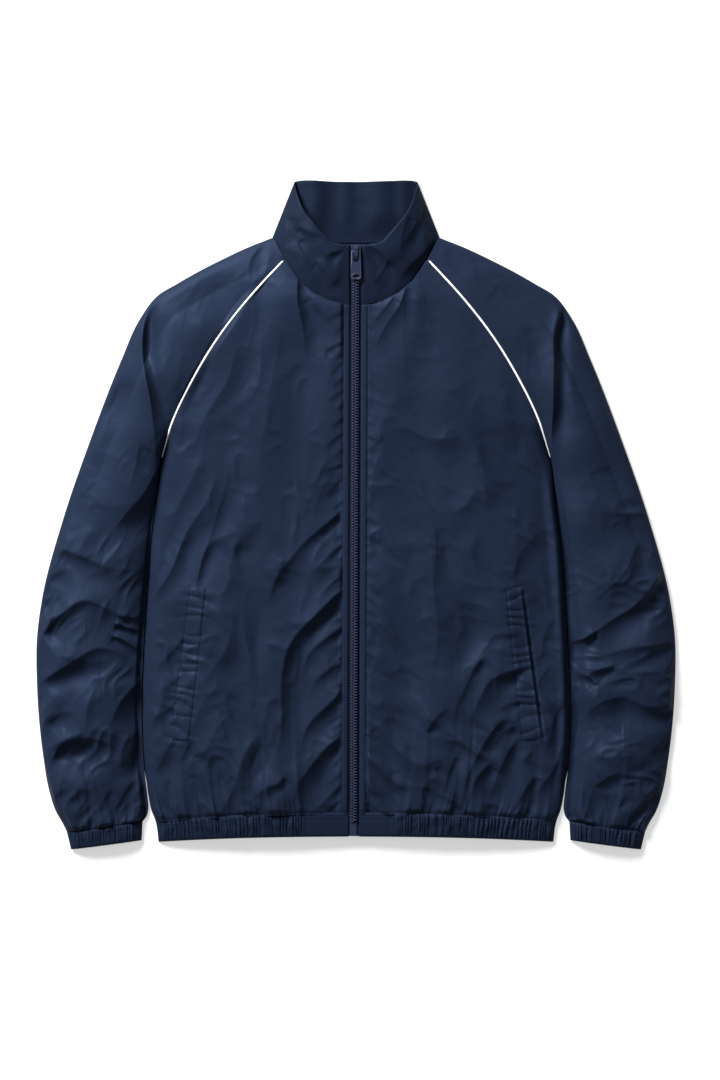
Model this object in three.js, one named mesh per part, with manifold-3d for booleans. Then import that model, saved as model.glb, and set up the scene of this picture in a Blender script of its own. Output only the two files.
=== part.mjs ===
import * as THREE from 'three';
import Module from 'manifold-3d';

// Windbreaker jacket, zipped up and laid flat on its back.
// Millimetres. +X is the wearer's left, +Y runs from the hem to the collar, +Z is up from the
// surface it lies on. Tables give one half of the garment, and each is mirrored for the other.

const wasm = await Module();
wasm.setup();

// Driving sizes
const cloth = { wall: 1.5, collarWall: 2.0, gap: 0.3, slopeCap: 1.9 };
const edge = { mid: 3.2, top: 3.4, inset: 3.0, innerInset: 2.0, halfInset: 1.2 };
const zip = { halfOpening: 6.5, lean: -2.9, topY: 707.5, chainHalf: 4.3, tapeOuter: 15.5 };
const underarm = { x: 235.0, y: 448.8 };
const neck = { foldX: 99.5, foldY: 718.0, cornerX: 85.2, cornerY: 691.2, backX: 56.0, backY: 713.0 };
const sideGap = 1.0;
const gathers = { hemCount: 28, cuffCount: 16, samples: 4, hemRise: 1.3, cuffRise: 1.2, margin: 0.01 };

// How the cloth rises between its folds: the powers and roots of its rounded sections
const puffCurve = { power: 2.4, root: 0.6 };
const frontCurve = { power: 2.6, sideRoot: 0.6, bulge: 3.2, bulgeLean: 0.9 };
const foldFade = { zipFrom: 0.03, zipTo: 0.14, seamFrom: 0.9, sleeveTo: 0.12, endShare: 0.35 };
const sleeveBend = { raglanPower: 1.5, innerPower: 1.35 };
const hemLine = { seamY: 28.2, seamFall: 9.7, seamPower: 2.2, endFall: 6.8, endPower: 2.4 };

// Height of the cloth along the zip, from the hem to the top of the collar
const zipHeights = [
  { y: -12, z: 12.5 },
  { y: 28, z: 15.5 },
  { y: 110, z: 20.0 },
  { y: 300, z: 24.0 },
  { y: 520, z: 25.5 },
  { y: 636, z: 26.0 },
  { y: 715, z: 30.5 },
];

// Side seam of the body, from the hem up to the underarm
const sideSeam = [
  { y: -8, x: 236.5 },
  { y: 18, x: 240.5 },
  { y: 31, x: 245.4 },
  { y: 48, x: 248.9 },
  { y: 73, x: 252.0 },
  { y: 106, x: 254.7 },
  { y: 154, x: 256.0 },
  { y: 218, x: 254.1 },
  { y: 283, x: 250.5 },
  { y: 353, x: 245.4 },
  { y: 403, x: 239.4 },
  { y: 448.8, x: 235.0 },
];

// Raglan seam of the front, from the neck seam down to the underarm
const frontRaglan = [
  { x: 85.2, y: 691.2 },
  { x: 112.1, y: 662.4 },
  { x: 129.0, y: 643.2 },
  { x: 165.9, y: 595.2 },
  { x: 195.0, y: 547.2 },
  { x: 218.4, y: 499.2 },
  { x: 235.0, y: 448.8 },
];

// Raglan seam of the back
const backRaglan = [
  { x: 56.0, y: 713.0 },
  { x: 110.0, y: 655.0 },
  { x: 160.0, y: 592.0 },
  { x: 205.0, y: 520.0 },
  { x: 235.0, y: 448.8 },
];

// Sleeve sections: the outer point of each one, from the neck over the shoulder to the cuff,
// and how far its cloth puffs up
const sleeveSections = [
  { x: 99.5, y: 718.0, puff: 20 },
  { x: 130.8, y: 705.6, puff: 20 },
  { x: 161.4, y: 691.2, puff: 20.5 },
  { x: 189.6, y: 676.8, puff: 21 },
  { x: 214.8, y: 662.4, puff: 21 },
  { x: 238.2, y: 648.0, puff: 21 },
  { x: 259.8, y: 619.2, puff: 21 },
  { x: 271.2, y: 595.2, puff: 21 },
  { x: 281.4, y: 571.2, puff: 21 },
  { x: 300.6, y: 523.2, puff: 21 },
  { x: 318.6, y: 475.2, puff: 21 },
  { x: 335.4, y: 427.2, puff: 20.5 },
  { x: 351.6, y: 379.2, puff: 20 },
  { x: 366.0, y: 331.2, puff: 19.5 },
  { x: 376.8, y: 283.2, puff: 19 },
  { x: 382.8, y: 235.2, puff: 19 },
  { x: 382.8, y: 187.2, puff: 18.5 },
  { x: 379.2, y: 139.2, puff: 18 },
  { x: 374.4, y: 91.2, puff: 17 },
  { x: 368.5, y: 57.0, puff: 16 },
  { x: 359.4, y: 28.8, puff: 14 },
  { x: 351.0, y: 14.4, puff: 12 },
  { x: 346.8, y: 5.4, puff: 10 },
];
const cuffInner = { x: 255.6, y: 18.0 };
const cuffEnd = { outerX: 341.7, outerY: -15.9, innerX: 256.8, innerY: -4.8, puff: 9.5 };

// Where each section crosses from the outer fold (0) to the inner fold (1). The front shares
// the stations from the raglan's top (0.11) on.
const topStations = [0, 0.04, 0.11, 0.17, 0.24, 0.32, 0.41, 0.51, 0.62, 0.73, 0.84, 0.92, 0.97, 1];
const raglanTop = 0.11;
const underStations = [0.12, 0.34, 0.56, 0.78];
const underRaglanTop = 0.12;

// Collar, from the zip round the side fold to the centre back: the neck seam below, the top
// edge above, and the height of the top edge
const collarStations = [
  { lowX: 6.5, lowY: 636.0, topX: 7.6, topY: 707.5, topZ: 30.0 },
  { lowX: 30.0, lowY: 641.0, topX: 28.8, topY: 711.2, topZ: 30.0 },
  { lowX: 50.0, lowY: 650.5, topX: 39.6, topY: 721.4, topZ: 29.0 },
  { lowX: 68.0, lowY: 665.5, topX: 52.2, topY: 736.2, topZ: 26.5 },
  { lowX: 85.2, lowY: 691.2, topX: 63.0, topY: 751.2, topZ: 22.0 },
  { lowX: 92.3, lowY: 704.5, topX: 69.9, topY: 768.0, topZ: 15.0 },
  { lowX: 99.5, lowY: 718.0, topX: 74.0, topY: 782.5, topZ: 6.0 },
];
const collarBackStations = [
  { lowX: 96.5, lowY: 717.7, topX: 71.0, topY: 785.6 },
  { lowX: 76.0, lowY: 715.2, topX: 58.0, topY: 786.4 },
  { lowX: 56.0, lowY: 713.0, topX: 42.0, topY: 785.8 },
  { lowX: 28.0, lowY: 712.2, topX: 21.0, topY: 785.0 },
  { lowX: 0, lowY: 712.0, topX: 0, topY: 784.7 },
];
const collarRows = 6;
const collarRise = { seamShare: 0.0054, power: 1.2, foldWalls: 1.5, backWalls: 0.9, foldFrom: 4 };
const frontNeckHeights = [26.0, 25.8, 24.8, 22.0];

// Largest folds, each a soft trough or ridge along a bend through three points
const folds = [
  { x0: -149, y0: 600, x1: -140, y1: 466, x2: -188, y2: 320, rise: -3.0, half: 20 },
  { x0: -24, y0: 386, x1: -85, y1: 352, x2: -108, y2: 277, rise: -4.0, half: 15 },
  { x0: -24, y0: 277, x1: -83, y1: 238, x2: -92, y2: 160, rise: -3.6, half: 14 },
  { x0: -92, y0: 160, x1: -91, y1: 118, x2: -118, y2: 64, rise: -3.0, half: 13 },
  { x0: -24, y0: 124, x1: -61, y1: 92, x2: -77, y2: 52, rise: -3.2, half: 12 },
  { x0: -72, y0: 650, x1: -62, y1: 598, x2: -46, y2: 502, rise: -2.6, half: 12 },
  { x0: 84, y0: 478, x1: 100, y1: 334, x2: 88, y2: 190, rise: -4.0, half: 17 },
  { x0: 24, y0: 245, x1: 62, y1: 178, x2: 66, y2: 101, rise: -3.2, half: 13 },
  { x0: 181, y0: 205, x1: 142, y1: 178, x2: 130, y2: 110, rise: -3.2, half: 14 },
  { x0: 180, y0: 100, x1: 154, y1: 84, x2: 134, y2: 46, rise: -3.0, half: 12 },
  { x0: 67, y0: 650, x1: 59, y1: 574, x2: 47, y2: 502, rise: -2.8, half: 13 },
  { x0: -247, y0: 628, x1: -245, y1: 540, x2: -246, y2: 470, rise: -4.0, half: 13 },
  { x0: -250, y0: 424, x1: -265, y1: 394, x2: -294, y2: 367, rise: -3.4, half: 12 },
  { x0: -366, y0: 250, x1: -336, y1: 296, x2: -266, y2: 266, rise: -4.2, half: 14 },
  { x0: -300, y0: 240, x1: -283, y1: 228, x2: -264, y2: 220, rise: -4.0, half: 11 },
  { x0: -366, y0: 185, x1: -331, y1: 199, x2: -288, y2: 225, rise: -3.0, half: 12 },
  { x0: -358, y0: 106, x1: -323, y1: 138, x2: -278, y2: 110, rise: -3.4, half: 13 },
  { x0: 247, y0: 628, x1: 246, y1: 540, x2: 246, y2: 470, rise: -4.0, half: 13 },
  { x0: 338, y0: 355, x1: 300, y1: 310, x2: 266, y2: 280, rise: -4.4, half: 14 },
  { x0: 370, y0: 236, x1: 325, y1: 238, x2: 268, y2: 218, rise: -4.0, half: 14 },
  { x0: 366, y0: 156, x1: 320, y1: 184, x2: 268, y2: 140, rise: -4.0, half: 14 },
  { x0: 335, y0: 83, x1: 305, y1: 72, x2: 284, y2: 56, rise: -3.0, half: 11 },
];
const foldSteps = 6;

// Welt pocket: its corners on the wearer's right, mirrored for the left
const weltTop = { y: 297.6, inner: 178.8, outer: 198.0 };
const weltLow = { y: 115.2, inner: 199.2, outer: 223.2 };
const weltWall = { under: 0.6, thick: 1.1, rows: 12, columns: 3 };

// Cord of the contrast piping that lies on the raglan seam
const piping = { half: 1.35, endHalf: 0.5, rise: 1.5, lift: 0.5, endLift: 2.2, endFrom: 0.8, endTo: 0.97 };
const pipingSection = [
  { side: -1, high: 0 },
  { side: -0.8, high: 0.7 },
  { side: 0, high: 1 },
  { side: 0.8, high: 0.7 },
  { side: 1, high: 0 },
];

// Colours
const navy = { color: 0x1f2a44, roughness: 0.62, metalness: 0 };
const bandNavy = { color: 0x1c263e, roughness: 0.7, metalness: 0 };
const whiteCord = { color: 0xe9e8e4, roughness: 0.6, metalness: 0 };
const tapeNavy = { color: 0x151c2f, roughness: 0.85, metalness: 0 };
const toothNavy = { color: 0x232c48, roughness: 0.4, metalness: 0.1 };
const enamelNavy = { color: 0x2e3856, roughness: 0.32, metalness: 0.7 };

const jacket = new THREE.Group();

function addPiece(name, geometry, finish, parent = jacket) {
  const mesh = new THREE.Mesh(geometry, new THREE.MeshStandardMaterial(finish));
  mesh.name = name;
  parent.add(mesh);
  return mesh;
}

// Plain helpers
const mix = THREE.MathUtils.lerp;

function lookUp(table, y, column) {
  let i = 1;
  while (i < table.length - 1 && table[i].y < y) i += 1;
  const low = table[i - 1];
  const high = table[i];
  const t = THREE.MathUtils.clamp((y - low.y) / (high.y - low.y), 0, 1);
  return mix(low[column], high[column], t);
}

function curveThrough(rows) {
  const points = rows.map((row) => new THREE.Vector3(row.x, row.y, 0));
  return new THREE.CatmullRomCurve3(points, false, 'centripetal');
}

function zipX(y) {
  return zip.lean * (1 - y / zip.topY);
}

function zipHeight(y) {
  return lookUp(zipHeights, y, 'z');
}

function foldHeight(x, y) {
  let rise = 0;
  for (const fold of folds) {
    let best = Infinity;
    let bestT = 0;
    for (let step = 0; step < foldSteps; step += 1) {
      const a = foldPoint(fold, step / foldSteps);
      const b = foldPoint(fold, (step + 1) / foldSteps);
      const dx = b.x - a.x;
      const dy = b.y - a.y;
      const t = THREE.MathUtils.clamp(((x - a.x) * dx + (y - a.y) * dy) / (dx * dx + dy * dy), 0, 1);
      const distance = Math.hypot(x - a.x - t * dx, y - a.y - t * dy);
      if (distance < best) {
        best = distance;
        bestT = (step + t) / foldSteps;
      }
    }
    const taper = mix(foldFade.endShare, 1, Math.sin(Math.PI * bestT));
    rise += fold.rise * taper * Math.exp(-((best / fold.half) ** 2));
  }
  return rise;
}

function foldPoint(fold, t) {
  const s = 1 - t;
  return {
    x: s * s * fold.x0 + 2 * s * t * fold.x1 + t * t * fold.x2,
    y: s * s * fold.y0 + 2 * s * t * fold.y1 + t * t * fold.y2,
  };
}

// Rounded rise of a puffed section: 0 at both folds, 1 between them
function sectionRise(u) {
  return (1 - Math.abs(2 * u - 1) ** puffCurve.power) ** puffCurve.root;
}

function raglanHeight(u) {
  return edge.mid + sleeveSections[0].puff * sectionRise(u);
}

// Height of the front across from the zip (q = 0) to its outer seam (q = 1)
function frontHeight(q, outerZ, zipZ) {
  const soft = THREE.MathUtils.clamp((outerZ - edge.top) / sleeveSections[0].puff, 0, 1);
  const rise = (1 - q ** frontCurve.power) ** mix(frontCurve.sideRoot, 1, soft);
  const bulge = frontCurve.bulge * Math.sin(Math.PI * q ** frontCurve.bulgeLean);
  return outerZ + (zipZ - outerZ) * rise + bulge;
}

// Folds die out beside the zip and at the outer seams, so that the seams stay closed
function foldShare(q) {
  const fromZip = THREE.MathUtils.smoothstep(q, foldFade.zipFrom, foldFade.zipTo);
  return fromZip * (1 - THREE.MathUtils.smoothstep(q, foldFade.seamFrom, 1));
}

function bodyHeight(sign, x, y) {
  const inner = zip.halfOpening + sign * zipX(y);
  const q = THREE.MathUtils.clamp((sign * x - inner) / (lookUp(sideSeam, y, 'x') - inner), 0, 1);
  return frontHeight(q, edge.top, zipHeight(y)) + foldShare(q) * foldHeight(x, y);
}

function hemSeamY(q) {
  return hemLine.seamY - hemLine.seamFall * q ** hemLine.seamPower;
}

function hemEndY(q) {
  return -hemLine.endFall * q ** hemLine.endPower;
}

// Solids from rows of points
function closedGeometry(points, faces) {
  let volume = 0;
  const normal = new THREE.Vector3();
  for (const [a, b, c] of faces) {
    normal.crossVectors(points[b], points[c]);
    volume += points[a].dot(normal);
  }
  const index = volume > 0 ? faces.flat() : faces.flatMap(([a, b, c]) => [a, c, b]);
  const geometry = new THREE.BufferGeometry();
  geometry.setFromPoints(points);
  geometry.setIndex(index);
  geometry.computeVertexNormals();
  return geometry;
}

function quad(faces, a, b, c, d) {
  faces.push([a, b, c], [a, c, d]);
}

// A cloth wall between an upper and a lower grid of the same size
function wallFromGrids(upper, lower) {
  const rows = upper.length;
  const columns = upper[0].length;
  const points = [...upper.flat(), ...lower.flat()];
  const at = (layer, row, column) => layer * rows * columns + row * columns + column;
  const faces = [];
  for (let r = 0; r < rows - 1; r += 1) {
    for (let c = 0; c < columns - 1; c += 1) {
      quad(faces, at(0, r, c), at(0, r, c + 1), at(0, r + 1, c + 1), at(0, r + 1, c));
      quad(faces, at(1, r, c), at(1, r + 1, c), at(1, r + 1, c + 1), at(1, r, c + 1));
    }
    const end = columns - 1;
    quad(faces, at(0, r, 0), at(0, r + 1, 0), at(1, r + 1, 0), at(1, r, 0));
    quad(faces, at(0, r + 1, end), at(0, r, end), at(1, r, end), at(1, r + 1, end));
  }
  for (let c = 0; c < columns - 1; c += 1) {
    quad(faces, at(0, 0, c + 1), at(0, 0, c), at(1, 0, c), at(1, 0, c + 1));
    const last = rows - 1;
    quad(faces, at(0, last, c), at(0, last, c + 1), at(1, last, c + 1), at(1, last, c));
  }
  return closedGeometry(points, faces);
}

// A cloth tube between outer and inner rings of the same size, open at both ends
function tubeFromRings(outer, inner) {
  const rings = outer.length;
  const count = outer[0].length;
  const points = [...outer.flat(), ...inner.flat()];
  const at = (layer, ring, k) => layer * rings * count + ring * count + (k % count);
  const faces = [];
  for (let k = 0; k < count; k += 1) {
    for (let r = 0; r < rings - 1; r += 1) {
      quad(faces, at(0, r, k), at(0, r, k + 1), at(0, r + 1, k + 1), at(0, r + 1, k));
      quad(faces, at(1, r, k), at(1, r + 1, k), at(1, r + 1, k + 1), at(1, r, k + 1));
    }
    quad(faces, at(0, 0, k + 1), at(0, 0, k), at(1, 0, k), at(1, 0, k + 1));
    const last = rings - 1;
    quad(faces, at(0, last, k), at(0, last, k + 1), at(1, last, k + 1), at(1, last, k));
  }
  return closedGeometry(points, faces);
}

// Underside of a raised row of points: straight down by the wall, and more where it is steep
function underRow(row, wall, floor = 0) {
  return row.map((point, i) => {
    const before = row[Math.max(i - 1, 0)];
    const after = row[Math.min(i + 1, row.length - 1)];
    const run = Math.hypot(after.x - before.x, after.y - before.y);
    const slope = run > 0 ? (after.z - before.z) / run : 0;
    const drop = wall * Math.min(Math.hypot(1, slope), cloth.slopeCap);
    return new THREE.Vector3(point.x, point.y, Math.max(point.z - drop, floor));
  });
}

// Fronts
const frontColumns = [0, 0.05, 0.13, 0.24, 0.36, 0.48, 0.6, 0.71, 0.81, 0.89, 0.95, 0.985, 1];
const frontLowRows = 18;
const raglanStations = topStations.filter((u) => u >= raglanTop && u < 1).reverse();
const zipStationYs = [457, 470, 492, 525, 562, 600, 636];
const tip = { neckX: 83.0, neckY: 687.0, raglanShare: 0.02, evenFrom: 7, seamGaps: 1.5 };
const frontRaglanCurve = curveThrough(frontRaglan);

function raglanPoint(u) {
  return frontRaglanCurve.getPointAt((u - raglanTop) / (1 - raglanTop));
}

function frontGrid(sign) {
  const grid = [];
  for (let r = 0; r < frontLowRows; r += 1) {
    const up = r / (frontLowRows - 1);
    const sideY = mix(hemSeamY(1) + cloth.gap / 2, underarm.y, up);
    grid.push(frontColumns.map((q) => {
      const y = mix(hemSeamY(q) + cloth.gap / 2, underarm.y, up);
      const innerX = zipX(y) + sign * zip.halfOpening;
      const x = mix(innerX, sign * lookUp(sideSeam, sideY, 'x'), q);
      const share = foldShare(q);
      return new THREE.Vector3(x, y, frontHeight(q, edge.top, zipHeight(y)) + share * foldHeight(x, y));
    }));
  }
  raglanStations.forEach((u, k) => {
    const atTip = u === raglanTop;
    const outer = atTip ? frontRaglanCurve.getPointAt(tip.raglanShare) : raglanPoint(u);
    const inner = innerFrontPoint(sign, k, atTip);
    const from = new THREE.Vector2(inner.x, inner.y);
    const to = new THREE.Vector2(sign * outer.x, outer.y);
    const pull = tip.seamGaps * cloth.gap / from.distanceTo(to);
    const even = THREE.MathUtils.smoothstep(k, tip.evenFrom, raglanStations.length - 1);
    grid.push(frontColumns.map((column, c) => {
      const q = mix(column, c / (frontColumns.length - 1), even);
      const plan = from.clone().lerp(to, q * (1 - pull));
      const outerZ = raglanHeight(u);
      const z = mix(frontHeight(q, outerZ, inner.z), mix(inner.z, outerZ, q), even);
      return new THREE.Vector3(plan.x, plan.y, z + foldShare(q) * (1 - even) * foldHeight(plan.x, plan.y));
    }));
  });
  return grid;
}

function innerFrontPoint(sign, k, atTip) {
  if (atTip) return { x: sign * tip.neckX, y: tip.neckY, z: neckHeight(4) };
  if (k < zipStationYs.length) {
    const y = zipStationYs[k];
    return { x: zipX(y) + sign * zip.halfOpening, y, z: zipHeight(y) };
  }
  const station = k - zipStationYs.length + 1;
  const row = collarStations[station];
  return { x: sign * row.lowX, y: row.lowY, z: neckHeight(station) };
}

// Height of the neck seam at a collar station, from the zip to the side fold
function neckHeight(station) {
  const shoulderHeights = [raglanHeight(raglanTop), raglanHeight(topStations[1]), edge.mid];
  return [...frontNeckHeights, ...shoulderHeights][station];
}

function addFront(name, sign) {
  const upper = frontGrid(sign);
  const lower = upper.map((row) => underRow(row, cloth.wall, cloth.wall + cloth.gap));
  addPiece(name, wallFromGrids(upper, lower), navy);
}

// Back, flat on the surface, both halves in one
const backRaglanCurve = curveThrough(backRaglan);
const backLowRows = 8;
const backColumns = 10;

function underRaglanPoint(u) {
  return backRaglanCurve.getPointAt((u - underRaglanTop) / (1 - underRaglanTop));
}

function addBack() {
  const outline = [];
  for (let r = 0; r < backLowRows; r += 1) {
    const y = mix(hemSeamY(1) + cloth.gap / 2, underarm.y, r / (backLowRows - 1));
    outline.push({ x: lookUp(sideSeam, y, 'x'), y, bow: r === 0 ? 1 : 0 });
  }
  for (const u of [...underStations].reverse()) {
    const point = underRaglanPoint(u);
    outline.push({ x: point.x - 2 * cloth.gap, y: point.y, bow: 0 });
  }
  const upper = [];
  const lower = [];
  outline.forEach((row, r) => {
    const isNeck = r === outline.length - 1;
    const line = [];
    for (let c = 0; c <= backColumns; c += 1) {
      const across = 2 * c / backColumns - 1;
      const hemLift = row.bow * (hemSeamY(Math.abs(across)) - hemSeamY(1));
      const neckDrop = isNeck ? (neck.backY - collarBackStations[4].lowY) * (1 - Math.abs(across)) : 0;
      line.push(new THREE.Vector3(across * row.x, row.y + hemLift - neckDrop, cloth.wall));
    }
    upper.push(line);
    lower.push(line.map((point) => new THREE.Vector3(point.x, point.y, 0)));
  });
  addPiece('back', wallFromGrids(upper, lower), navy);
}

// Sleeves, each of a front and a back half, joined over the shoulder and along the underarm
function polyLength(rows) {
  let length = 0;
  const lengths = [0];
  for (let i = 1; i < rows.length; i += 1) {
    length += Math.hypot(rows[i].x - rows[i - 1].x, rows[i].y - rows[i - 1].y);
    lengths.push(length);
  }
  return lengths.map((value) => value / length);
}

const innerEdge = [
  ...sideSeam.filter((row) => row.y > 36).reverse().map((row) => ({ x: row.x + sideGap, y: row.y })),
  { x: 249.0, y: 32.0 },
  { x: 251.0, y: 24.0 },
  cuffInner,
];
const innerEdgeCurve = curveThrough(innerEdge);
const sleeveAlong = polyLength(sleeveSections);

function topRaglanPoint(u) {
  if (u >= raglanTop) return raglanPoint(u);
  const t = u / raglanTop;
  return new THREE.Vector3(mix(neck.foldX, neck.cornerX, t), mix(neck.foldY, neck.cornerY, t), 0);
}

function underRaglanLine(u) {
  if (u >= underRaglanTop) return underRaglanPoint(u);
  const t = u / underRaglanTop;
  return new THREE.Vector3(mix(neck.foldX, neck.backX, t), mix(neck.foldY, neck.backY, t), 0);
}

function sleevePlan(sign, section, u, raglanLine) {
  const last = sleeveSections.length - 1;
  const v = sleeveAlong[section];
  const outer = sleeveSections[section];
  const inner = innerEdgeCurve.getPointAt(v ** sleeveBend.innerPower);
  const raglan = raglanLine(u);
  const bend = (1 - v) ** sleeveBend.raglanPower;
  const x = mix(outer.x, inner.x, u) + bend * (raglan.x - mix(neck.foldX, underarm.x, u));
  const y = mix(outer.y, inner.y, u) + bend * (raglan.y - mix(neck.foldY, underarm.y, u));
  const lift = section === last ? cloth.gap : 0;
  return new THREE.Vector3(sign * x, y + lift, 0);
}

function sleeveWidth(sign, section) {
  const outer = sleevePlan(sign, section, 0, topRaglanPoint);
  return outer.distanceTo(sleevePlan(sign, section, 1, topRaglanPoint));
}

function addSleeveFront(name, sign) {
  const upper = sleeveSections.map((row, section) => topStations.map((u) => {
    const point = sleevePlan(sign, section, u, topRaglanPoint);
    const fromFold = THREE.MathUtils.smoothstep(u, 0, foldFade.sleeveTo);
    const share = section === 0 ? 0 : fromFold * (1 - THREE.MathUtils.smoothstep(u, foldFade.seamFrom, 1));
    const fold = share * foldHeight(point.x, point.y);
    return point.setZ(edge.mid + row.puff * sectionRise(u) + fold);
  }));
  const lower = upper.map((row) => underRow(row, cloth.wall, cloth.wall + cloth.gap));
  addPiece(name, wallFromGrids(upper, lower), navy);
}

function addSleeveBack(name, sign) {
  const upper = sleeveSections.map((row, section) => {
    const turn = edge.halfInset / sleeveWidth(sign, section);
    return [turn, ...underStations, 1 - turn].map((u) => (
      sleevePlan(sign, section, u, underRaglanLine).setZ(cloth.wall)
    ));
  });
  const lower = upper.map((row) => row.map((point) => new THREE.Vector3(point.x, point.y, 0)));
  addPiece(name, wallFromGrids(upper, lower), navy);
}

// Outer and inner ring of a cuff: a puffed top, a flat underside and a turned fold at each end
function ringWalls(top, under, width, planAt) {
  const innerTop = underRow(top, cloth.wall, cloth.wall + cloth.gap);
  const fold = edge.innerInset / width;
  innerTop[0] = planAt(fold).setZ(edge.mid);
  innerTop[innerTop.length - 1] = planAt(1 - fold).setZ(edge.mid);
  const innerUnder = under.map((point) => new THREE.Vector3(point.x, point.y, cloth.wall));
  return { outer: [...top, ...under], inner: [...innerTop, ...innerUnder] };
}

// Gathered bands
function gatherWave(count, along) {
  return 0.5 - 0.5 * Math.cos(2 * Math.PI * count * along);
}

// Rows of a band from its seam to its free edge, and how much of the gathers' rise each has
const hemFlat = { right: 0.235, left: 0.17 };
const bandRows = [
  { share: 0, rise: 0.3 },
  { share: 0.45, rise: 1 },
  { share: 1, rise: 0.8 },
];

function addHemFront(name, sign, flatShare) {
  const gatherEnd = 1 - gathers.margin;
  const columns = [0, flatShare / 2];
  const steps = gathers.hemCount * gathers.samples;
  for (let i = 0; i <= steps; i += 1) columns.push(mix(flatShare, gatherEnd, i / steps));
  columns.push(1);
  const upper = bandRows.map(({ share, rise }) => columns.map((q) => {
    const y = mix(hemSeamY(q) - cloth.gap / 2, hemEndY(q), share);
    const innerX = zipX(y) + sign * zip.halfOpening;
    const x = mix(innerX, sign * lookUp(sideSeam, mix(hemSeamY(1), hemEndY(1), share), 'x'), q);
    const along = (q - flatShare) / (gatherEnd - flatShare);
    const wave = along > 0 && along < 1 ? gatherWave(gathers.hemCount, along) : 0;
    const z = frontHeight(q, edge.top, zipHeight(y)) + gathers.hemRise * rise * wave;
    return new THREE.Vector3(x, y, z);
  }));
  const floor = cloth.wall + cloth.gap;
  const lower = upper.map((row) => row.map((point) => (
    new THREE.Vector3(point.x, point.y, Math.max(point.z - cloth.wall, floor))
  )));
  addPiece(name, wallFromGrids(upper, lower), bandNavy);
}

function addHemBack() {
  const upper = [];
  const lower = [];
  for (const { share } of bandRows) {
    const line = [];
    const sideX = lookUp(sideSeam, mix(hemSeamY(1), hemEndY(1), share), 'x');
    for (let c = 0; c <= 2 * backColumns; c += 1) {
      const across = c / backColumns - 1;
      const q = Math.abs(across);
      const y = mix(hemSeamY(q) - cloth.gap / 2, hemEndY(q), share);
      line.push(new THREE.Vector3(across * sideX, y, cloth.wall));
    }
    upper.push(line);
    lower.push(line.map((point) => new THREE.Vector3(point.x, point.y, 0)));
  }
  addPiece('hem_back', wallFromGrids(upper, lower), bandNavy);
}

function cuffPlan(sign, share, u) {
  const start = sleeveSections[sleeveSections.length - 1];
  const outerX = mix(start.x, cuffEnd.outerX, share);
  const outerY = mix(start.y, cuffEnd.outerY, share);
  const innerX = mix(cuffInner.x, cuffEnd.innerX, share);
  const innerY = mix(cuffInner.y, cuffEnd.innerY, share);
  return new THREE.Vector3(sign * mix(outerX, innerX, u), mix(outerY, innerY, u), 0);
}

const cuffGathers = { from: 0.02, calmFrom: 0.2, calmTo: 0.7 };

function addCuff(name, sign) {
  const steps = gathers.cuffCount * gathers.samples;
  const stations = [0];
  for (let i = 0; i <= steps; i += 1) stations.push(mix(cuffGathers.from, 1 - cuffGathers.from, i / steps));
  stations.push(1);
  const rings = bandRows.map(({ share, rise }) => {
    const width = cuffPlan(sign, share, 0).distanceTo(cuffPlan(sign, share, 1));
    const top = stations.map((u) => {
      const along = (u - cuffGathers.from) / (1 - 2 * cuffGathers.from);
      const wave = along > 0 && along < 1 ? gatherWave(gathers.cuffCount, along) : 0;
      const calm = THREE.MathUtils.smoothstep(sectionRise(u), cuffGathers.calmFrom, cuffGathers.calmTo);
      const puff = cuffEnd.puff * sectionRise(u) + gathers.cuffRise * rise * wave * calm;
      return cuffPlan(sign, share, u).setZ(edge.mid + puff);
    });
    const turn = edge.inset / width;
    const under = [turn, ...underStations, 1 - turn].reverse().map((u) => cuffPlan(sign, share, u));
    return ringWalls(top, under, width, (u) => cuffPlan(sign, share, u));
  });
  addPiece(name, tubeFromRings(rings.map((ring) => ring.outer), rings.map((ring) => ring.inner)), bandNavy);
}

// Collar: one band that wraps from the zip round the back to the zip
function collarHalf(sign, t) {
  const outer = [];
  const inner = [];
  const up = mix(collarRise.seamShare, 1, t);
  collarStations.forEach((row, k) => {
    const x = mix(row.lowX, row.topX, up);
    const y = mix(row.lowY, row.topY, up);
    const lean = k === 0 ? zipX(y) : 0;
    const z = k === 0 ? zipHeight(y) : mix(neckHeight(k), row.topZ, up ** collarRise.power);
    outer.push(new THREE.Vector3(sign * x + lean, y, z));
    const isFold = k === collarStations.length - 1;
    const shift = isFold ? cloth.collarWall : 0;
    const walls = k > collarRise.foldFrom ? collarRise.foldWalls : 1;
    const drop = isFold ? 0 : cloth.collarWall * walls;
    inner.push(new THREE.Vector3(sign * (x - shift) + lean, y, z - drop));
  });
  for (const row of collarBackStations) {
    const x = mix(row.lowX, row.topX, up);
    const y = mix(row.lowY, row.topY, up);
    outer.push(new THREE.Vector3(sign * x, y, 0));
    inner.push(new THREE.Vector3(sign * x, y, cloth.collarWall * collarRise.backWalls));
  }
  return { outer, inner };
}

function addCollar() {
  const outerRows = [];
  const innerRows = [];
  for (let r = 0; r < collarRows; r += 1) {
    const right = collarHalf(-1, r / (collarRows - 1));
    const left = collarHalf(1, r / (collarRows - 1));
    outerRows.push([...right.outer, ...left.outer.slice(0, -1).reverse()]);
    innerRows.push([...right.inner, ...left.inner.slice(0, -1).reverse()]);
  }
  addPiece('collar', wallFromGrids(outerRows, innerRows), navy);
}

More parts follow.
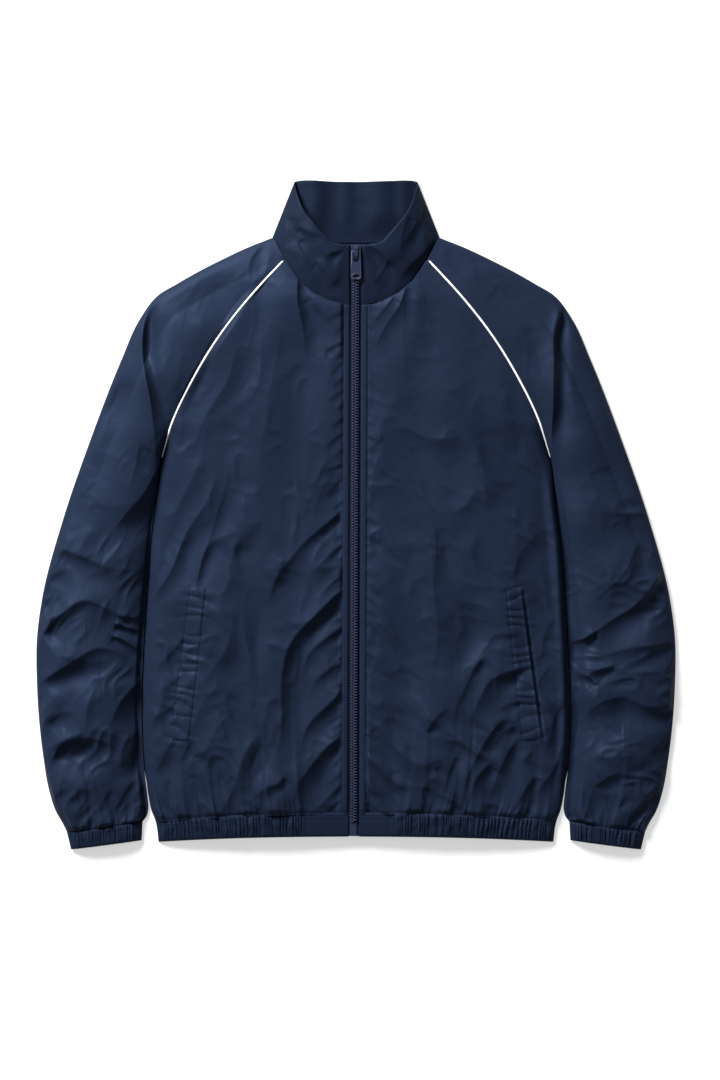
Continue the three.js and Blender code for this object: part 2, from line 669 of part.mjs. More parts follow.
// Pocket welts, made from the front's own height moved out
function addWelt(name, sign) {
  const upper = [];
  const lower = [];
  for (let r = 0; r <= weltWall.rows; r += 1) {
    const up = r / weltWall.rows;
    const y = mix(weltLow.y, weltTop.y, up);
    const inner = mix(weltLow.inner, weltTop.inner, up);
    const outer = mix(weltLow.outer, weltTop.outer, up);
    const line = [];
    for (let c = 0; c <= weltWall.columns; c += 1) {
      const x = sign * mix(inner, outer, c / weltWall.columns);
      line.push(new THREE.Vector3(x, y, bodyHeight(sign, x, y) + weltWall.under));
    }
    lower.push(line);
    upper.push(line.map((point) => new THREE.Vector3(point.x, point.y, point.z + weltWall.thick)));
  }
  addPiece(name, wallFromGrids(upper, lower), navy);
}

// Piping: a flat-bottomed cord along the raglan seam
function addPiping(name, sign) {
  const stations = topStations.filter((u) => u >= raglanTop && u < 1);
  const rings = stations.map((u) => {
    const at = raglanPoint(u);
    const along = frontRaglanCurve.getTangentAt((u - raglanTop) / (1 - raglanTop));
    const across = new THREE.Vector3(-along.y, along.x, 0);
    const end = THREE.MathUtils.smoothstep(u, piping.endFrom, piping.endTo);
    const half = mix(piping.half, piping.endHalf, end);
    const z = raglanHeight(u) + mix(piping.lift, piping.endLift, end);
    return pipingSection.map(({ side, high }) => new THREE.Vector3(
      sign * (at.x + across.x * side * half),
      at.y + across.y * side * half,
      z + high * piping.rise,
    ));
  });
  addPiece(name, sweptSolid(rings), whiteCord);
}

// A solid swept through closed sections, with flat ends
function sweptSolid(rings) {
  const count = rings[0].length;
  const points = rings.flat();
  const faces = [];
  for (let r = 0; r < rings.length - 1; r += 1) {
    for (let k = 0; k < count; k += 1) {
      const next = (k + 1) % count;
      quad(faces, r * count + k, r * count + next, (r + 1) * count + next, (r + 1) * count + k);
    }
  }
  const last = (rings.length - 1) * count;
  for (let k = 1; k < count - 1; k += 1) {
    faces.push([0, k + 1, k], [last, last + k, last + k + 1]);
  }
  return closedGeometry(points, faces);
}

// Zip
const zipRows = 22;
const tape = { drop: 2.7, thick: 1.0, lowY: 1.0, topGap: 1.0, sliderX: 6.4 };
const chain = { above: 1.9, below: 1.3, lowY: 17.2, shoulder: 0.9 };
const box = { lowY: 1.2, topY: 16.8, above: 2.3, below: 1.5, shoulder: 1.0 };
const slider = { pivotY: 699, front: 9, back: 9, topHalf: 5.8, lowHalf: 4.9, below: 3.8, plate: 1.2 };
const sliderNose = { y: 2, corner: 1.5 };
const crown = { half: 1.9, front: 7.2, rear: 9.0, top: 3.2, hole: 1.75, pivotRise: 2.6, sunk: 0.4 };
const crownArch = { frontZ: 1.0, rearZ: 0.6, frontRun: 2.4, rearRun: 4.0, boreSides: 12 };
const tab = { half: 6.3, neckHalf: 5.4, thick: 1.5, barUp: 0.9, length: 33.6, corner: 3.0, taperTo: 7.0 };
const tabSlot = { half: 3.0, endY: -12.0, corner: 1.5 };
const tabEye = { y: -29.0, halfWide: 4.5, halfTall: 2.3, curveSegments: 6 };
const sliderLowY = slider.pivotY - slider.back;

function tapeTop(y) {
  return zipHeight(y) - tape.drop;
}

function zipRowYs(from, to, count) {
  return Array.from({ length: count }, (_, i) => mix(from, to, i / (count - 1)));
}

function addTape(name, sign) {
  const belowSlider = zipRowYs(tape.lowY, sliderLowY - 2 * cloth.gap, zipRows);
  const ys = [...belowSlider, sliderLowY + cloth.gap, zip.topY - tape.topGap];
  const upper = ys.map((y) => {
    const inner = y > sliderLowY ? tape.sliderX : zip.chainHalf + cloth.gap;
    return [inner, zip.tapeOuter].map((x) => new THREE.Vector3(zipX(y) + sign * x, y, tapeTop(y)));
  });
  const lower = upper.map((row) => row.map((point) => (
    new THREE.Vector3(point.x, point.y, point.z - tape.thick)
  )));
  addPiece(name, wallFromGrids(upper, lower), tapeNavy);
}

// A bar in the middle of the zip, with its upper corners cut off
function zipBar(ys, { above, below, shoulder }) {
  const half = zip.chainHalf;
  return sweptSolid(ys.map((y) => {
    const low = tapeTop(y) - below;
    const high = tapeTop(y) + above;
    const corners = [
      [-half, low],
      [half, low],
      [half, high - shoulder],
      [half - shoulder, high],
      [shoulder - half, high],
      [-half, high - shoulder],
    ];
    return corners.map(([x, z]) => new THREE.Vector3(zipX(y) + x, y, z));
  }));
}

function toManifold(geometry) {
  const index = geometry.index.array;
  const vertices = geometry.attributes.position.array;
  return new wasm.Manifold(new wasm.Mesh({
    numProp: 3,
    vertProperties: new Float32Array(vertices),
    triVerts: new Uint32Array(index),
  }));
}

function fromManifold(solid) {
  const mesh = solid.getMesh();
  const geometry = new THREE.BufferGeometry();
  geometry.setAttribute('position', new THREE.BufferAttribute(mesh.vertProperties, 3));
  geometry.setIndex(new THREE.BufferAttribute(mesh.triVerts, 1));
  geometry.computeVertexNormals();
  return geometry;
}

// Slider body and crown, about the pull tab's pivot
function sliderGeometry() {
  const floor = -crown.pivotRise - slider.below;
  const deck = -crown.pivotRise + slider.plate;
  const outline = [
    [-slider.lowHalf, -slider.back],
    [slider.lowHalf, -slider.back],
    [slider.topHalf, sliderNose.y],
    [slider.topHalf, slider.front - sliderNose.corner],
    [slider.topHalf - sliderNose.corner, slider.front],
    [sliderNose.corner - slider.topHalf, slider.front],
    [-slider.topHalf, slider.front - sliderNose.corner],
    [-slider.topHalf, sliderNose.y],
  ];
  const levels = [floor, deck];
  const body = sweptSolid(levels.map((z) => outline.map(([x, y]) => new THREE.Vector3(x, y, z))));
  const arch = [
    [-crown.rear, deck - crown.sunk],
    [crown.front, deck - crown.sunk],
    [crown.front, crownArch.frontZ],
    [crown.front - crownArch.frontRun, crown.top],
    [crownArch.rearRun - crown.rear, crown.top],
    [-crown.rear, crownArch.rearZ],
  ];
  const sides = [-crown.half, crown.half];
  const rib = sweptSolid(sides.map((x) => arch.map(([y, z]) => new THREE.Vector3(x, y, z))));
  const bore = sweptSolid(sides.map((x) => circlePoints(crown.hole, crownArch.boreSides, 2 * x)));
  return fromManifold(toManifold(body).add(toManifold(rib)).subtract(toManifold(bore)));
}

function circlePoints(radius, count, x) {
  return Array.from({ length: count }, (_, i) => {
    const angle = 2 * Math.PI * i / count;
    return new THREE.Vector3(x, radius * Math.cos(angle), radius * Math.sin(angle));
  });
}

// Pull tab: a tapered plate with a slot round the crown and an oval hole at its end
function tabGeometry() {
  const low = tab.barUp - tab.length;
  const shape = new THREE.Shape();
  shape.moveTo(-tab.neckHalf, tab.barUp);
  shape.lineTo(-tab.half, low + tab.taperTo);
  shape.lineTo(-tab.half, low + tab.corner);
  shape.quadraticCurveTo(-tab.half, low, tab.corner - tab.half, low);
  shape.lineTo(tab.half - tab.corner, low);
  shape.quadraticCurveTo(tab.half, low, tab.half, low + tab.corner);
  shape.lineTo(tab.half, low + tab.taperTo);
  shape.lineTo(tab.neckHalf, tab.barUp);
  shape.closePath();
  const slot = new THREE.Path();
  slot.moveTo(-tabSlot.half, -tab.barUp);
  slot.lineTo(-tabSlot.half, tabSlot.endY + tabSlot.corner);
  slot.lineTo(tabSlot.corner - tabSlot.half, tabSlot.endY);
  slot.lineTo(tabSlot.half - tabSlot.corner, tabSlot.endY);
  slot.lineTo(tabSlot.half, tabSlot.endY + tabSlot.corner);
  slot.lineTo(tabSlot.half, -tab.barUp);
  slot.closePath();
  const eye = new THREE.Path();
  eye.absellipse(0, tabEye.y, tabEye.halfWide, tabEye.halfTall, 0, 2 * Math.PI, true);
  shape.holes.push(slot, eye);
  const settings = { depth: tab.thick, bevelEnabled: false, curveSegments: tabEye.curveSegments };
  const geometry = new THREE.ExtrudeGeometry(shape, settings);
  geometry.translate(0, 0, -tab.thick / 2);
  return geometry;
}

function addSlider() {
  const sliderGroup = new THREE.Group();
  const [neckRow, topRow] = zipHeights.slice(-2);
  const slope = (topRow.z - neckRow.z) / (topRow.y - neckRow.y);
  const pivotZ = zipHeight(slider.pivotY) + crown.pivotRise;
  sliderGroup.position.set(zipX(slider.pivotY), slider.pivotY, pivotZ);
  sliderGroup.rotation.x = Math.atan(slope);
  addPiece('zip_slider', sliderGeometry(), enamelNavy, sliderGroup);
  addPiece('zip_pull', tabGeometry(), enamelNavy, sliderGroup);
  jacket.add(sliderGroup);
}

addBack();
addFront('front_right', -1);
addFront('front_left', 1);
addSleeveFront('sleeve_front_right', -1);
addSleeveFront('sleeve_front_left', 1);
addSleeveBack('sleeve_back_right', -1);
addSleeveBack('sleeve_back_left', 1);
addCollar();
addHemFront('hem_front_right', -1, hemFlat.right);
addHemFront('hem_front_left', 1, hemFlat.left);
addHemBack();
addCuff('cuff_right', -1);
addCuff('cuff_left', 1);
addWelt('pocket_welt_right', -1);
addWelt('pocket_welt_left', 1);
addPiping('piping_right', -1);
addPiping('piping_left', 1);
addTape('zip_tape_right', -1);
addTape('zip_tape_left', 1);
addPiece('zip_chain', zipBar(zipRowYs(chain.lowY, sliderLowY - cloth.gap, zipRows), chain), toothNavy);
addPiece('zip_box', zipBar([box.lowY, box.topY], box), toothNavy);
addSlider();

// The reference point is the middle of the garment's footprint, on the surface it lies on
const bounds = new THREE.Box3().setFromObject(jacket);
const centre = bounds.getCenter(new THREE.Vector3());
jacket.position.set(-centre.x, -centre.y, -bounds.min.z);

export default jacket;
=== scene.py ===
import math

import bmesh
import bpy
import numpy as np
from mathutils import Matrix, Vector
from mathutils.bvhtree import BVHTree


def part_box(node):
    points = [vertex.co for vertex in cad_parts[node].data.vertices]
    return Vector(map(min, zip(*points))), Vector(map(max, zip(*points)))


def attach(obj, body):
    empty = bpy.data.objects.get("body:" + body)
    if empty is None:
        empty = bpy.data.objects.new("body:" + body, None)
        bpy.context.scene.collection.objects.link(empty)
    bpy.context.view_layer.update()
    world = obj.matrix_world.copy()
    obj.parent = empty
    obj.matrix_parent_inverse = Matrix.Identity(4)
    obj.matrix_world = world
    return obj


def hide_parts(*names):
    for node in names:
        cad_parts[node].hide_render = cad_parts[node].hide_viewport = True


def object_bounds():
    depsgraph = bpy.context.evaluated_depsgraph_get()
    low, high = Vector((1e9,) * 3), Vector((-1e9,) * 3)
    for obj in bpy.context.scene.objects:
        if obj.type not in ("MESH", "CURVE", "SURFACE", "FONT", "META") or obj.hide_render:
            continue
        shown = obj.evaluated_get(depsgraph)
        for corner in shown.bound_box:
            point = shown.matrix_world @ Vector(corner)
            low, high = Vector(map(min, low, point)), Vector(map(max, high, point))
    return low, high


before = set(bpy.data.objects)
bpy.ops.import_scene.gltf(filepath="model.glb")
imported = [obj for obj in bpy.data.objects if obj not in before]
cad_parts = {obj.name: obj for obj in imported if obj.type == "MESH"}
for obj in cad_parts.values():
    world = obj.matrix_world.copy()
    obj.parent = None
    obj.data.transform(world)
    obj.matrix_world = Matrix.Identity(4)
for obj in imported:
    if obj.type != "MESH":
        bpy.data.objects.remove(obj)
cadLow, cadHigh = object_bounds()

mm = 0.001
# Tables are in garment millimetres: x from the zip, y up from the hem, z up from the table.
# The cuffs' lowest edge is at y -15.9, which puts the garment's zero in the frame.
cuffLowY = -15.9
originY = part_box("cuff_left")[0].y / mm - cuffLowY


def mix(a, b, t):
    return a + (b - a) * t


def ease(x, low, high):
    t = np.clip((x - low) / (high - low), 0, 1)
    return t * t * (3 - 2 * t)


def curveAt(rows, at):
    # smooth curve through rows whose first column says where and whose others are values
    rows = np.array(rows, float)
    knots, values = rows[:, 0], rows[:, 1:]
    slopes = np.gradient(values, knots, axis=0)
    at = np.clip(np.asarray(at, float), knots[0], knots[-1])
    i = np.clip(np.searchsorted(knots, at, side="right") - 1, 0, len(knots) - 2)
    span = (knots[i + 1] - knots[i])[..., None]
    t = (at - knots[i])[..., None] / span
    low, high = values[i], values[i + 1]
    found = ((2 * t**3 - 3 * t**2 + 1) * low + (t**3 - 2 * t**2 + t) * span * slopes[i]
             + (3 * t**2 - 2 * t**3) * high + (t**3 - t**2) * span * slopes[i + 1])
    return found[..., 0] if found.shape[-1] == 1 else found


def alongLine(points, share):
    # place on a line of points at a share of its whole length
    points = np.array(points, float)
    steps = np.hypot(*np.diff(points[:, :2], axis=0).T)
    shares = np.concatenate([[0], np.cumsum(steps)]) / steps.sum()
    return curveAt(np.column_stack([shares, points]), share)


def bell(distance, half):
    # 1 at no distance, fading either way
    return np.exp(-((distance / half) ** 2))


def uneven(x, y, size, seed):
    # gentle seeded unevenness from -1 to 1, with bumps about size millimetres apart
    rng = np.random.default_rng(seed)
    total = np.zeros_like(x)
    count = 9
    for _ in range(count):
        turn = rng.uniform(0, 2 * math.pi)
        length = size * rng.uniform(1.2, 2.8)
        phase = rng.uniform(0, 2 * math.pi)
        total += np.sin(2 * math.pi * (x * math.cos(turn) + y * math.sin(turn)) / length + phase)
    return total / math.sqrt(count) / 1.4


# Garment sizes
garment = dict(
    edgeZ=3.2, puffZ=20,
    underarm=(235, 448.8), neckFold=(99.5, 718), neckCorner=(85.2, 691.2), neckBack=(56, 713),
    zipHalf=6.5, zipLean=-2.9, zipTopY=707.5,
)
zipHeights = [(-12, 12.5), (28, 15.5), (110, 20), (300, 24), (520, 25.5), (636, 26), (715, 30.5)]
sideSeam = [(-8, 236.5), (18, 240.5), (31, 245.4), (48, 248.9), (73, 252), (106, 254.7), (154, 256),
            (218, 254.1), (283, 250.5), (353, 245.4), (403, 239.4), (448.8, 235)]
frontRaglan = [(85.2, 691.2), (112.1, 662.4), (129, 643.2), (165.9, 595.2), (195, 547.2),
               (218.4, 499.2), (235, 448.8)]
backRaglan = [(56, 713), (110, 655), (160, 592), (205, 520), (235, 448.8)]
# outer edge of the sleeve over the shoulder to the cuff, and how far its cloth puffs up
sleeveOuter = [(99.5, 718, 20), (130.8, 705.6, 20), (161.4, 691.2, 20.5), (189.6, 676.8, 21),
               (214.8, 662.4, 21), (238.2, 648, 21), (259.8, 619.2, 21), (281.4, 571.2, 21),
               (318.6, 475.2, 21), (351.6, 379.2, 20), (376.8, 283.2, 19), (382.8, 235.2, 19),
               (382.8, 187.2, 18.5), (374.4, 91.2, 17), (368.5, 57, 16), (359.4, 28.8, 14),
               (351, 14.4, 12), (346.8, 5.4, 10)]
sleeveInner = [(235, 448.8), (240.4, 403), (246.4, 353), (251.5, 283), (255.1, 218), (257, 154),
               (255.7, 106), (253, 73), (249.9, 48), (249, 32), (251, 24), (255.6, 18)]
cuff = dict(start=(346.8, 5.4), startInner=(255.6, 18), end=(341.7, -15.9), endInner=(256.8, -4.8),
            puff=9.5, width=91)
sides = (("right", -1), ("left", 1))
# collar from the zip round the side fold to the centre back: neck seam, top edge and their heights
collarRows = [(0, 6.5, 636, 26, 7.6, 707.5, 30), (1, 30, 641, 25.8, 28.8, 711.2, 30),
              (2, 50, 650.5, 24.8, 39.6, 721.4, 29), (3, 68, 665.5, 22, 52.2, 736.2, 26.5),
              (4, 85.2, 691.2, 15.6, 63, 751.2, 22), (5, 92.3, 704.5, 10.4, 69.9, 768, 15),
              (6, 99.5, 718, 3.2, 74, 782.5, 6), (7, 96.5, 717.7, 0, 71, 785.6, 0),
              (8, 76, 715.2, 0, 58, 786.4, 0), (9, 56, 713, 0, 42, 785.8, 0),
              (10, 28, 712.2, 0, 21, 785, 0), (11, 0, 712, 0, 0, 784.7, 0)]
# inner end of the front's rows above the underarm, against the share of the raglan seam
frontInner = [(0, 6.5, 448.8), (0.034, 6.5, 457), (0.09, 6.5, 470), (0.18, 6.5, 492), (0.303, 6.5, 525),
              (0.427, 6.5, 562), (0.551, 6.5, 600), (0.663, 6.5, 636), (0.764, 30, 641),
              (0.854, 50, 650.5), (0.933, 68, 665.5), (1, 84.2, 690)]
frontNeckZ = [(0.663, 26), (0.764, 25.8), (0.854, 24.8), (0.933, 22), (1, 15.6)]
neckShare, neckY = frontNeckZ[0][0], 636  # where the neck seam starts, at the zip
print("jacket: sizes read")

# Folds: depth, half width, lean (1 drops like a step, 0 is an even trough), then the points of their line
rightFrontFolds = [
    (6.5, 11, 0.9, (-14, 296), (-38, 276), (-62, 254), (-81, 228), (-88, 197), (-90, 154),
     (-94, 115), (-99, 72)),
    (4.6, 9, 0.85, (-16, 392), (-42, 368), (-77, 334), (-108, 276)),
    (3, 7, 0.85, (-15, 352), (-36, 334), (-60, 312)),
    (3.2, 6, 0.85, (-15, 250), (-34, 238), (-58, 214), (-66, 184)),
    (3.2, 6, 0.8, (-84, 73), (-90, 64), (-106, 60), (-122, 50), (-128, 42)),
    (4.2, 8, 0.9, (-17, 180), (-38, 156), (-56, 131), (-71, 98)),
    (2.2, 5, 0.9, (-16, 209), (-34, 200), (-49, 187), (-55, 174)),
    (5.5, 10, 0.9, (-17, 120), (-41, 101), (-56, 85), (-66, 67), (-77, 34)),
    (3, 7, 0.8, (-17, 62), (-36, 46), (-53, 31)),
    (2.4, 6, 0.9, (-16, 311), (-35, 298), (-46, 283)),
    (2, 8, 0.8, (-86, 334), (-94, 305), (-110, 271)),
    (3.2, 13, 0.5, (-146, 352), (-144, 307), (-145, 259), (-149, 211), (-156, 175)),
    (2.6, 9, 0.8, (-158, 168), (-149, 132), (-133, 109), (-122, 85)),
    (3, 8, 0.7, (-168, 150), (-158, 118), (-140, 84), (-128, 52)),
    (3.2, 7, 0.8, (-196, 96), (-184, 70), (-176, 40)),
    (2.4, 8, 0.6, (-181, 214), (-158, 180), (-134, 139)),
    (2.4, 4, 0.7, (-152, 72), (-150, 36)),
    (1.8, 5, 0.8, (-210, 238), (-224, 217), (-239, 198)),
    (1.6, 5, 0.8, (-210, 193), (-226, 181), (-238, 173)),
    (2.4, 7, 0.8, (-214, 169), (-233, 149), (-250, 130)),
    (2.4, 7, 0.8, (-221, 114), (-232, 97), (-247, 73)),
    (2, 6, 0.8, (-199, 114), (-205, 101), (-214, 89)),
    (2.2, 8, 0.5, (-198, 298), (-210, 331), (-222, 377)),
    (3.4, 7, 0.7, (-194, 300), (-184, 331), (-172, 366), (-158, 410), (-150, 460)),
    (2, 4, 0.7, (-168, 71), (-166, 55), (-162, 36)),
    (2.6, 12, 0.6, (-127, 679), (-121, 622), (-131, 571), (-142, 528)),
    (3.4, 7, 0.85, (-71, 671), (-70, 644), (-65, 620), (-56, 562)),
    (2.6, 7, 0.7, (-53, 650), (-36, 624), (-16, 595)),
    (3.4, 18, 0.6, (-89, 607), (-103, 535), (-113, 463), (-113, 379)),
    (2, 6, 0.7, (-41, 581), (-28, 557), (-16, 542)),
    (2, 14, 0.6, (-175, 499), (-185, 439), (-187, 379)),
    (2.2, 12, 0.7, (-25, 439), (-46, 403), (-53, 355)),
    (1.6, 8, 0.6, (-235, 331), (-238, 283), (-240, 235)),
    (2, 5, 0.6, (-228, 67), (-226, 36)),
    (2.4, 6, 0.6, (-199, 73), (-197, 34)),
    (1.8, 7, 0.6, (-113, 115), (-118, 73), (-113, 36)),
]
leftFrontFolds = [
    (3.6, 11, 0.7, (92, 372), (93, 307), (97, 253), (94, 214), (88, 180)),
    (3.2, 7, 0.8, (152, 214), (136, 190), (122, 160), (116, 128)),
    (3.6, 7, 0.8, (176, 140), (154, 112), (134, 76), (124, 40)),
    (3, 6, 0.8, (118, 100), (108, 72), (104, 40)),
    (2.6, 6, 0.8, (84, 128), (98, 146), (116, 158)),
    (3.8, 8, 0.6, (16, 296), (40, 262), (64, 208), (86, 158)),
    (3.4, 7, 0.6, (16, 252), (44, 212), (70, 150)),
    (3.2, 7, 0.6, (15, 354), (40, 312), (58, 264)),
    (3.4, 7, 0.6, (15, 204), (36, 176), (60, 128)),
    (3.2, 6, 0.6, (15, 166), (40, 136), (66, 92)),
    (2.8, 6, 0.6, (15, 128), (30, 104), (44, 66)),
    (2.6, 7, 0.6, (15, 410), (34, 380), (48, 340)),
    (2.2, 6, 0.4, (40, 78), (53, 38)),
    (2.6, 5, 0.7, (92, 77), (109, 64), (112, 52), (102, 46)),
    (2.6, 6, 0.7, (79, 58), (101, 56)),
    (1.6, 5, 0.8, (192, 245), (169, 242), (154, 224), (140, 198)),
    (4.2, 9, 0.85, (199, 203), (181, 200), (163, 190), (149, 168), (132, 130)),
    (2, 5, 0.8, (194, 163), (179, 161), (168, 150)),
    (2.2, 6, 0.8, (191, 132), (172, 120), (162, 101)),
    (4.6, 9, 0.85, (160, 89), (145, 70), (132, 31)),
    (3.4, 8, 0.8, (192, 114), (176, 91), (163, 56), (154, 32)),
    (1.8, 5, 0.8, (210, 102), (198, 86)),
    (2.6, 6, 0.8, (215, 72), (199, 52), (185, 30)),
    (2.2, 6, 0.7, (223, 239), (216, 211), (204, 205)),
    (2, 6, 0.7, (239, 259), (222, 241)),
    (2.4, 7, 0.7, (232, 199), (221, 180), (218, 158)),
    (2.6, 7, 0.8, (247, 161), (239, 146), (232, 124), (221, 100)),
    (3.4, 8, 0.8, (244, 110), (229, 73), (203, 36)),
    (2.6, 9, 0.7, (190, 310), (200, 341), (227, 377)),
    (3.4, 7, 0.8, (62, 658), (41, 617), (17, 574)),
    (2.4, 6, 0.8, (44, 646), (19, 611)),
    (4, 13, 0.5, (74, 689), (89, 607), (120, 533)),
    (2.6, 16, 0.6, (62, 463), (84, 413), (90, 349)),
    (3, 16, 0.6, (55, 643), (58, 583), (55, 523)),
    (2.2, 14, 0.6, (173, 547), (187, 487), (190, 427)),
    (2.4, 18, 0.6, (146, 487), (156, 403), (151, 331)),
    (2.2, 12, 0.4, (19, 470), (43, 439), (58, 379)),
    (2, 12, 0.6, (125, 283), (120, 223), (122, 175)),
    (2.2, 7, 0.6, (58, 109), (65, 67), (64, 34)),
    (1.4, 4, 0.6, (108, 43), (108, 29)),
    (1.8, 10, 0.6, (221, 331), (228, 283), (230, 247)),
]
rightSleeveFolds = [
    (6.5, 6, 0.95, (-250, 646), (-254, 606), (-252, 566), (-247, 522), (-241, 480), (-237, 440)),
    (5, 9, 0.85, (-377, 242), (-354, 263), (-328, 280), (-294, 272), (-254, 259)),
    (5, 4, 0.8, (-289, 256), (-272, 251), (-254, 246)),
    (5.5, 5, 0.8, (-290, 241), (-275, 232), (-253, 216)),
    (3.2, 4, 0.8, (-284, 266), (-270, 264), (-254, 268)),
    (6, 7, 0.2, (-256, 122), (-263, 92), (-266, 60)),
    (3.6, 8, 0.9, (-356, 345), (-307, 327), (-256, 318)),
    (5.4, 11, 0.9, (-376, 184), (-345, 207), (-300, 226), (-256, 199)),
    (5.2, 11, 0.85, (-256, 190), (-278, 166), (-303, 126)),
    (4.2, 8, 0.85, (-365, 89), (-354, 110), (-319, 119), (-289, 109), (-274, 95)),
    (3, 5, 0.7, (-336, 56), (-331, 40), (-328, 19)),
    (2, 4, 0.7, (-324, 67), (-322, 49), (-322, 31)),
    (2.6, 5, 0.7, (-296, 56), (-304, 40), (-310, 20)),
    (3.2, 5, 0.7, (-266, 67), (-284, 40), (-296, 18)),
    (2.2, 4, 0.7, (-258, 59), (-266, 40), (-272, 22)),
    (5.4, 11, 0.8, (-238, 439), (-259, 403), (-298, 362)),
    (3, 8, 0.7, (-259, 469), (-266, 439), (-270, 407)),
    (2.2, 12, 0.8, (-317, 403), (-341, 349), (-358, 334)),
    (1.8, 6, 0.8, (-367, 313), (-353, 318), (-336, 319)),
    (1.2, 10, 0.6, (-203, 631), (-212, 595), (-204, 553)),
    (1, 12, 0.6, (-170, 667), (-182, 619), (-185, 571)),
    (2.6, 6, 0.7, (-113, 713), (-125, 694), (-126, 672), (-125, 655)),
    (1.8, 5, 0.7, (-84, 713), (-96, 701), (-108, 689)),
    (2.4, 14, 0.7, (-286, 547), (-302, 487), (-317, 439)),
    (2.4, 9, 0.8, (-355, 217), (-326, 211), (-295, 209)),
    (2.4, 8, 0.8, (-370, 139), (-350, 149), (-326, 144)),
    (2, 5, 0.7, (-355, 67), (-353, 43), (-343, 25)),
    (2, 8, 0.5, (-221, 499), (-229, 463), (-235, 439)),
]
leftSleeveFolds = [
    (6.5, 5, 0.9, (247, 648), (240, 606), (236, 566), (234, 520), (234, 480), (236, 440)),
    (5, 13, 0.75, (338, 355), (313, 308), (293, 290), (269, 272)),
    (2, 5, 0.8, (384, 336), (368, 324), (360, 312)),
    (5, 10, 0.9, (367, 314), (340, 284), (298, 254), (259, 230)),
    (4.4, 10, 0.8, (382, 235), (340, 227), (287, 218), (257, 221)),
    (5, 5, 0.85, (284, 246), (272, 238), (257, 232)),
    (5, 5, 0.85, (290, 184), (276, 196), (257, 199)),
    (3.4, 6, 0.8, (310, 206), (284, 204), (258, 212)),
    (5.4, 12, 0.8, (383, 156), (353, 156), (319, 166), (286, 156), (259, 134)),
    (2.2, 5, 0.5, (271, 128), (277, 110), (286, 91)),
    (2.8, 6, 0.8, (286, 58), (313, 78), (330, 73)),
    (3.2, 6, 0.8, (329, 22), (349, 50), (368, 66)),
    (2.8, 5, 0.7, (272, 22), (284, 58)),
    (2.4, 5, 0.6, (295, 58), (300, 22)),
    (2.2, 5, 0.7, (358, 36), (366, 50), (374, 58)),
    (2, 4, 0.7, (314, 36), (322, 53)),
    (2.4, 14, 0.5, (307, 607), (319, 535), (334, 475)),
    (2.6, 14, 0.6, (278, 439), (293, 379), (290, 331)),
    (1.8, 12, 0.6, (173, 665), (197, 643), (230, 629)),
    (2.2, 12, 0.6, (197, 607), (206, 559), (202, 511)),
    (1.8, 10, 0.6, (353, 439), (358, 391), (365, 355)),
    (2.6, 8, 0.8, (384, 283), (370, 259), (341, 245)),
    (2.6, 8, 0.8, (379, 115), (355, 106), (336, 89)),
    (2, 7, 0.6, (108, 703), (115, 679), (127, 660)),
    (1.6, 8, 0.6, (137, 689), (142, 662), (154, 643)),
]
foldForm = dict(lightFrom=(-0.55, 0.83), wander=2.4, wanderSize=40, bend=8, startFade=0.08, endFade=0.4,
                narrow=0.6, wide=1.8, wall=1.7, rise=1.6, dip=0.4, recover=1.4, steep=1.2, strength=1.75,
                reach=3.4, startLeast=0.25)


def foldProfile(s, lean):
    # a fold that leans rises gently to a crisp crest and falls steeply; one at 0 is a trough
    form = foldForm
    before = 0.5 * np.exp(-((np.maximum(-s, 0) / form["rise"]) ** 1.25))
    fall = np.maximum(s, 0)
    down = np.clip(1 - fall / form["wall"], 0, 1) ** 2
    foot = bell(np.maximum(fall - form["wall"], 0), form["recover"])
    after = (0.5 + form["dip"]) * down - form["dip"] * foot
    trough = -np.exp(-(np.abs(s) ** 1.5))
    return lean * form["steep"] * np.where(s < 0, before, after) + (1 - lean) * trough


def foldHeights(rows, x, y):
    # how far the folds lift or sink the cloth at each point
    form = foldForm
    shiftX = form["wander"] * uneven(x, y, form["wanderSize"], 3)
    shiftY = form["wander"] * uneven(x, y, form["wanderSize"], 4)
    x, y = x + shiftX, y + shiftY
    total = np.zeros_like(x)
    for depth, half, lean, *path in rows:
        line = alongLine(path, np.linspace(0, 1, form["bend"] * (len(path) - 1) + 1))
        reach = form["reach"] * half * form["wide"]
        near = ((x > line[:, 0].min() - reach) & (x < line[:, 0].max() + reach)
                & (y > line[:, 1].min() - reach) & (y < line[:, 1].max() + reach))
        if not near.any():
            continue
        px, py = x[near], y[near]
        best, side, place = np.full(px.shape, np.inf), np.zeros(px.shape), np.zeros(px.shape)
        whole = line[-1] - line[0]
        litOnLeft = -whole[1] * form["lightFrom"][0] + whole[0] * form["lightFrom"][1] > 0
        for step in range(len(line) - 1):
            (ax, ay), (bx, by) = line[step], line[step + 1]
            dx, dy = bx - ax, by - ay
            t = np.clip(((px - ax) * dx + (py - ay) * dy) / (dx * dx + dy * dy), 0, 1)
            far = np.hypot(px - ax - t * dx, py - ay - t * dy)
            cross = (dx * (py - ay) - dy * (px - ax)) / math.hypot(dx, dy)
            closer = far < best
            best = np.where(closer, far, best)
            side = np.where(closer, -cross if litOnLeft else cross, side)
            place = np.where(closer, (step + t) / (len(line) - 1), place)
        width = half * mix(form["narrow"], form["wide"], place)
        fade = bell(np.sqrt(np.maximum(best**2 - side**2, 0)), width)
        fade = fade * mix(form["startLeast"], 1, ease(place, 0, form["startFade"]))
        fade = fade * (1 - ease(place, 1 - form["endFade"], 1.04))
        total[near] += form["strength"] * depth * fade * foldProfile(side / width, lean)
    return total


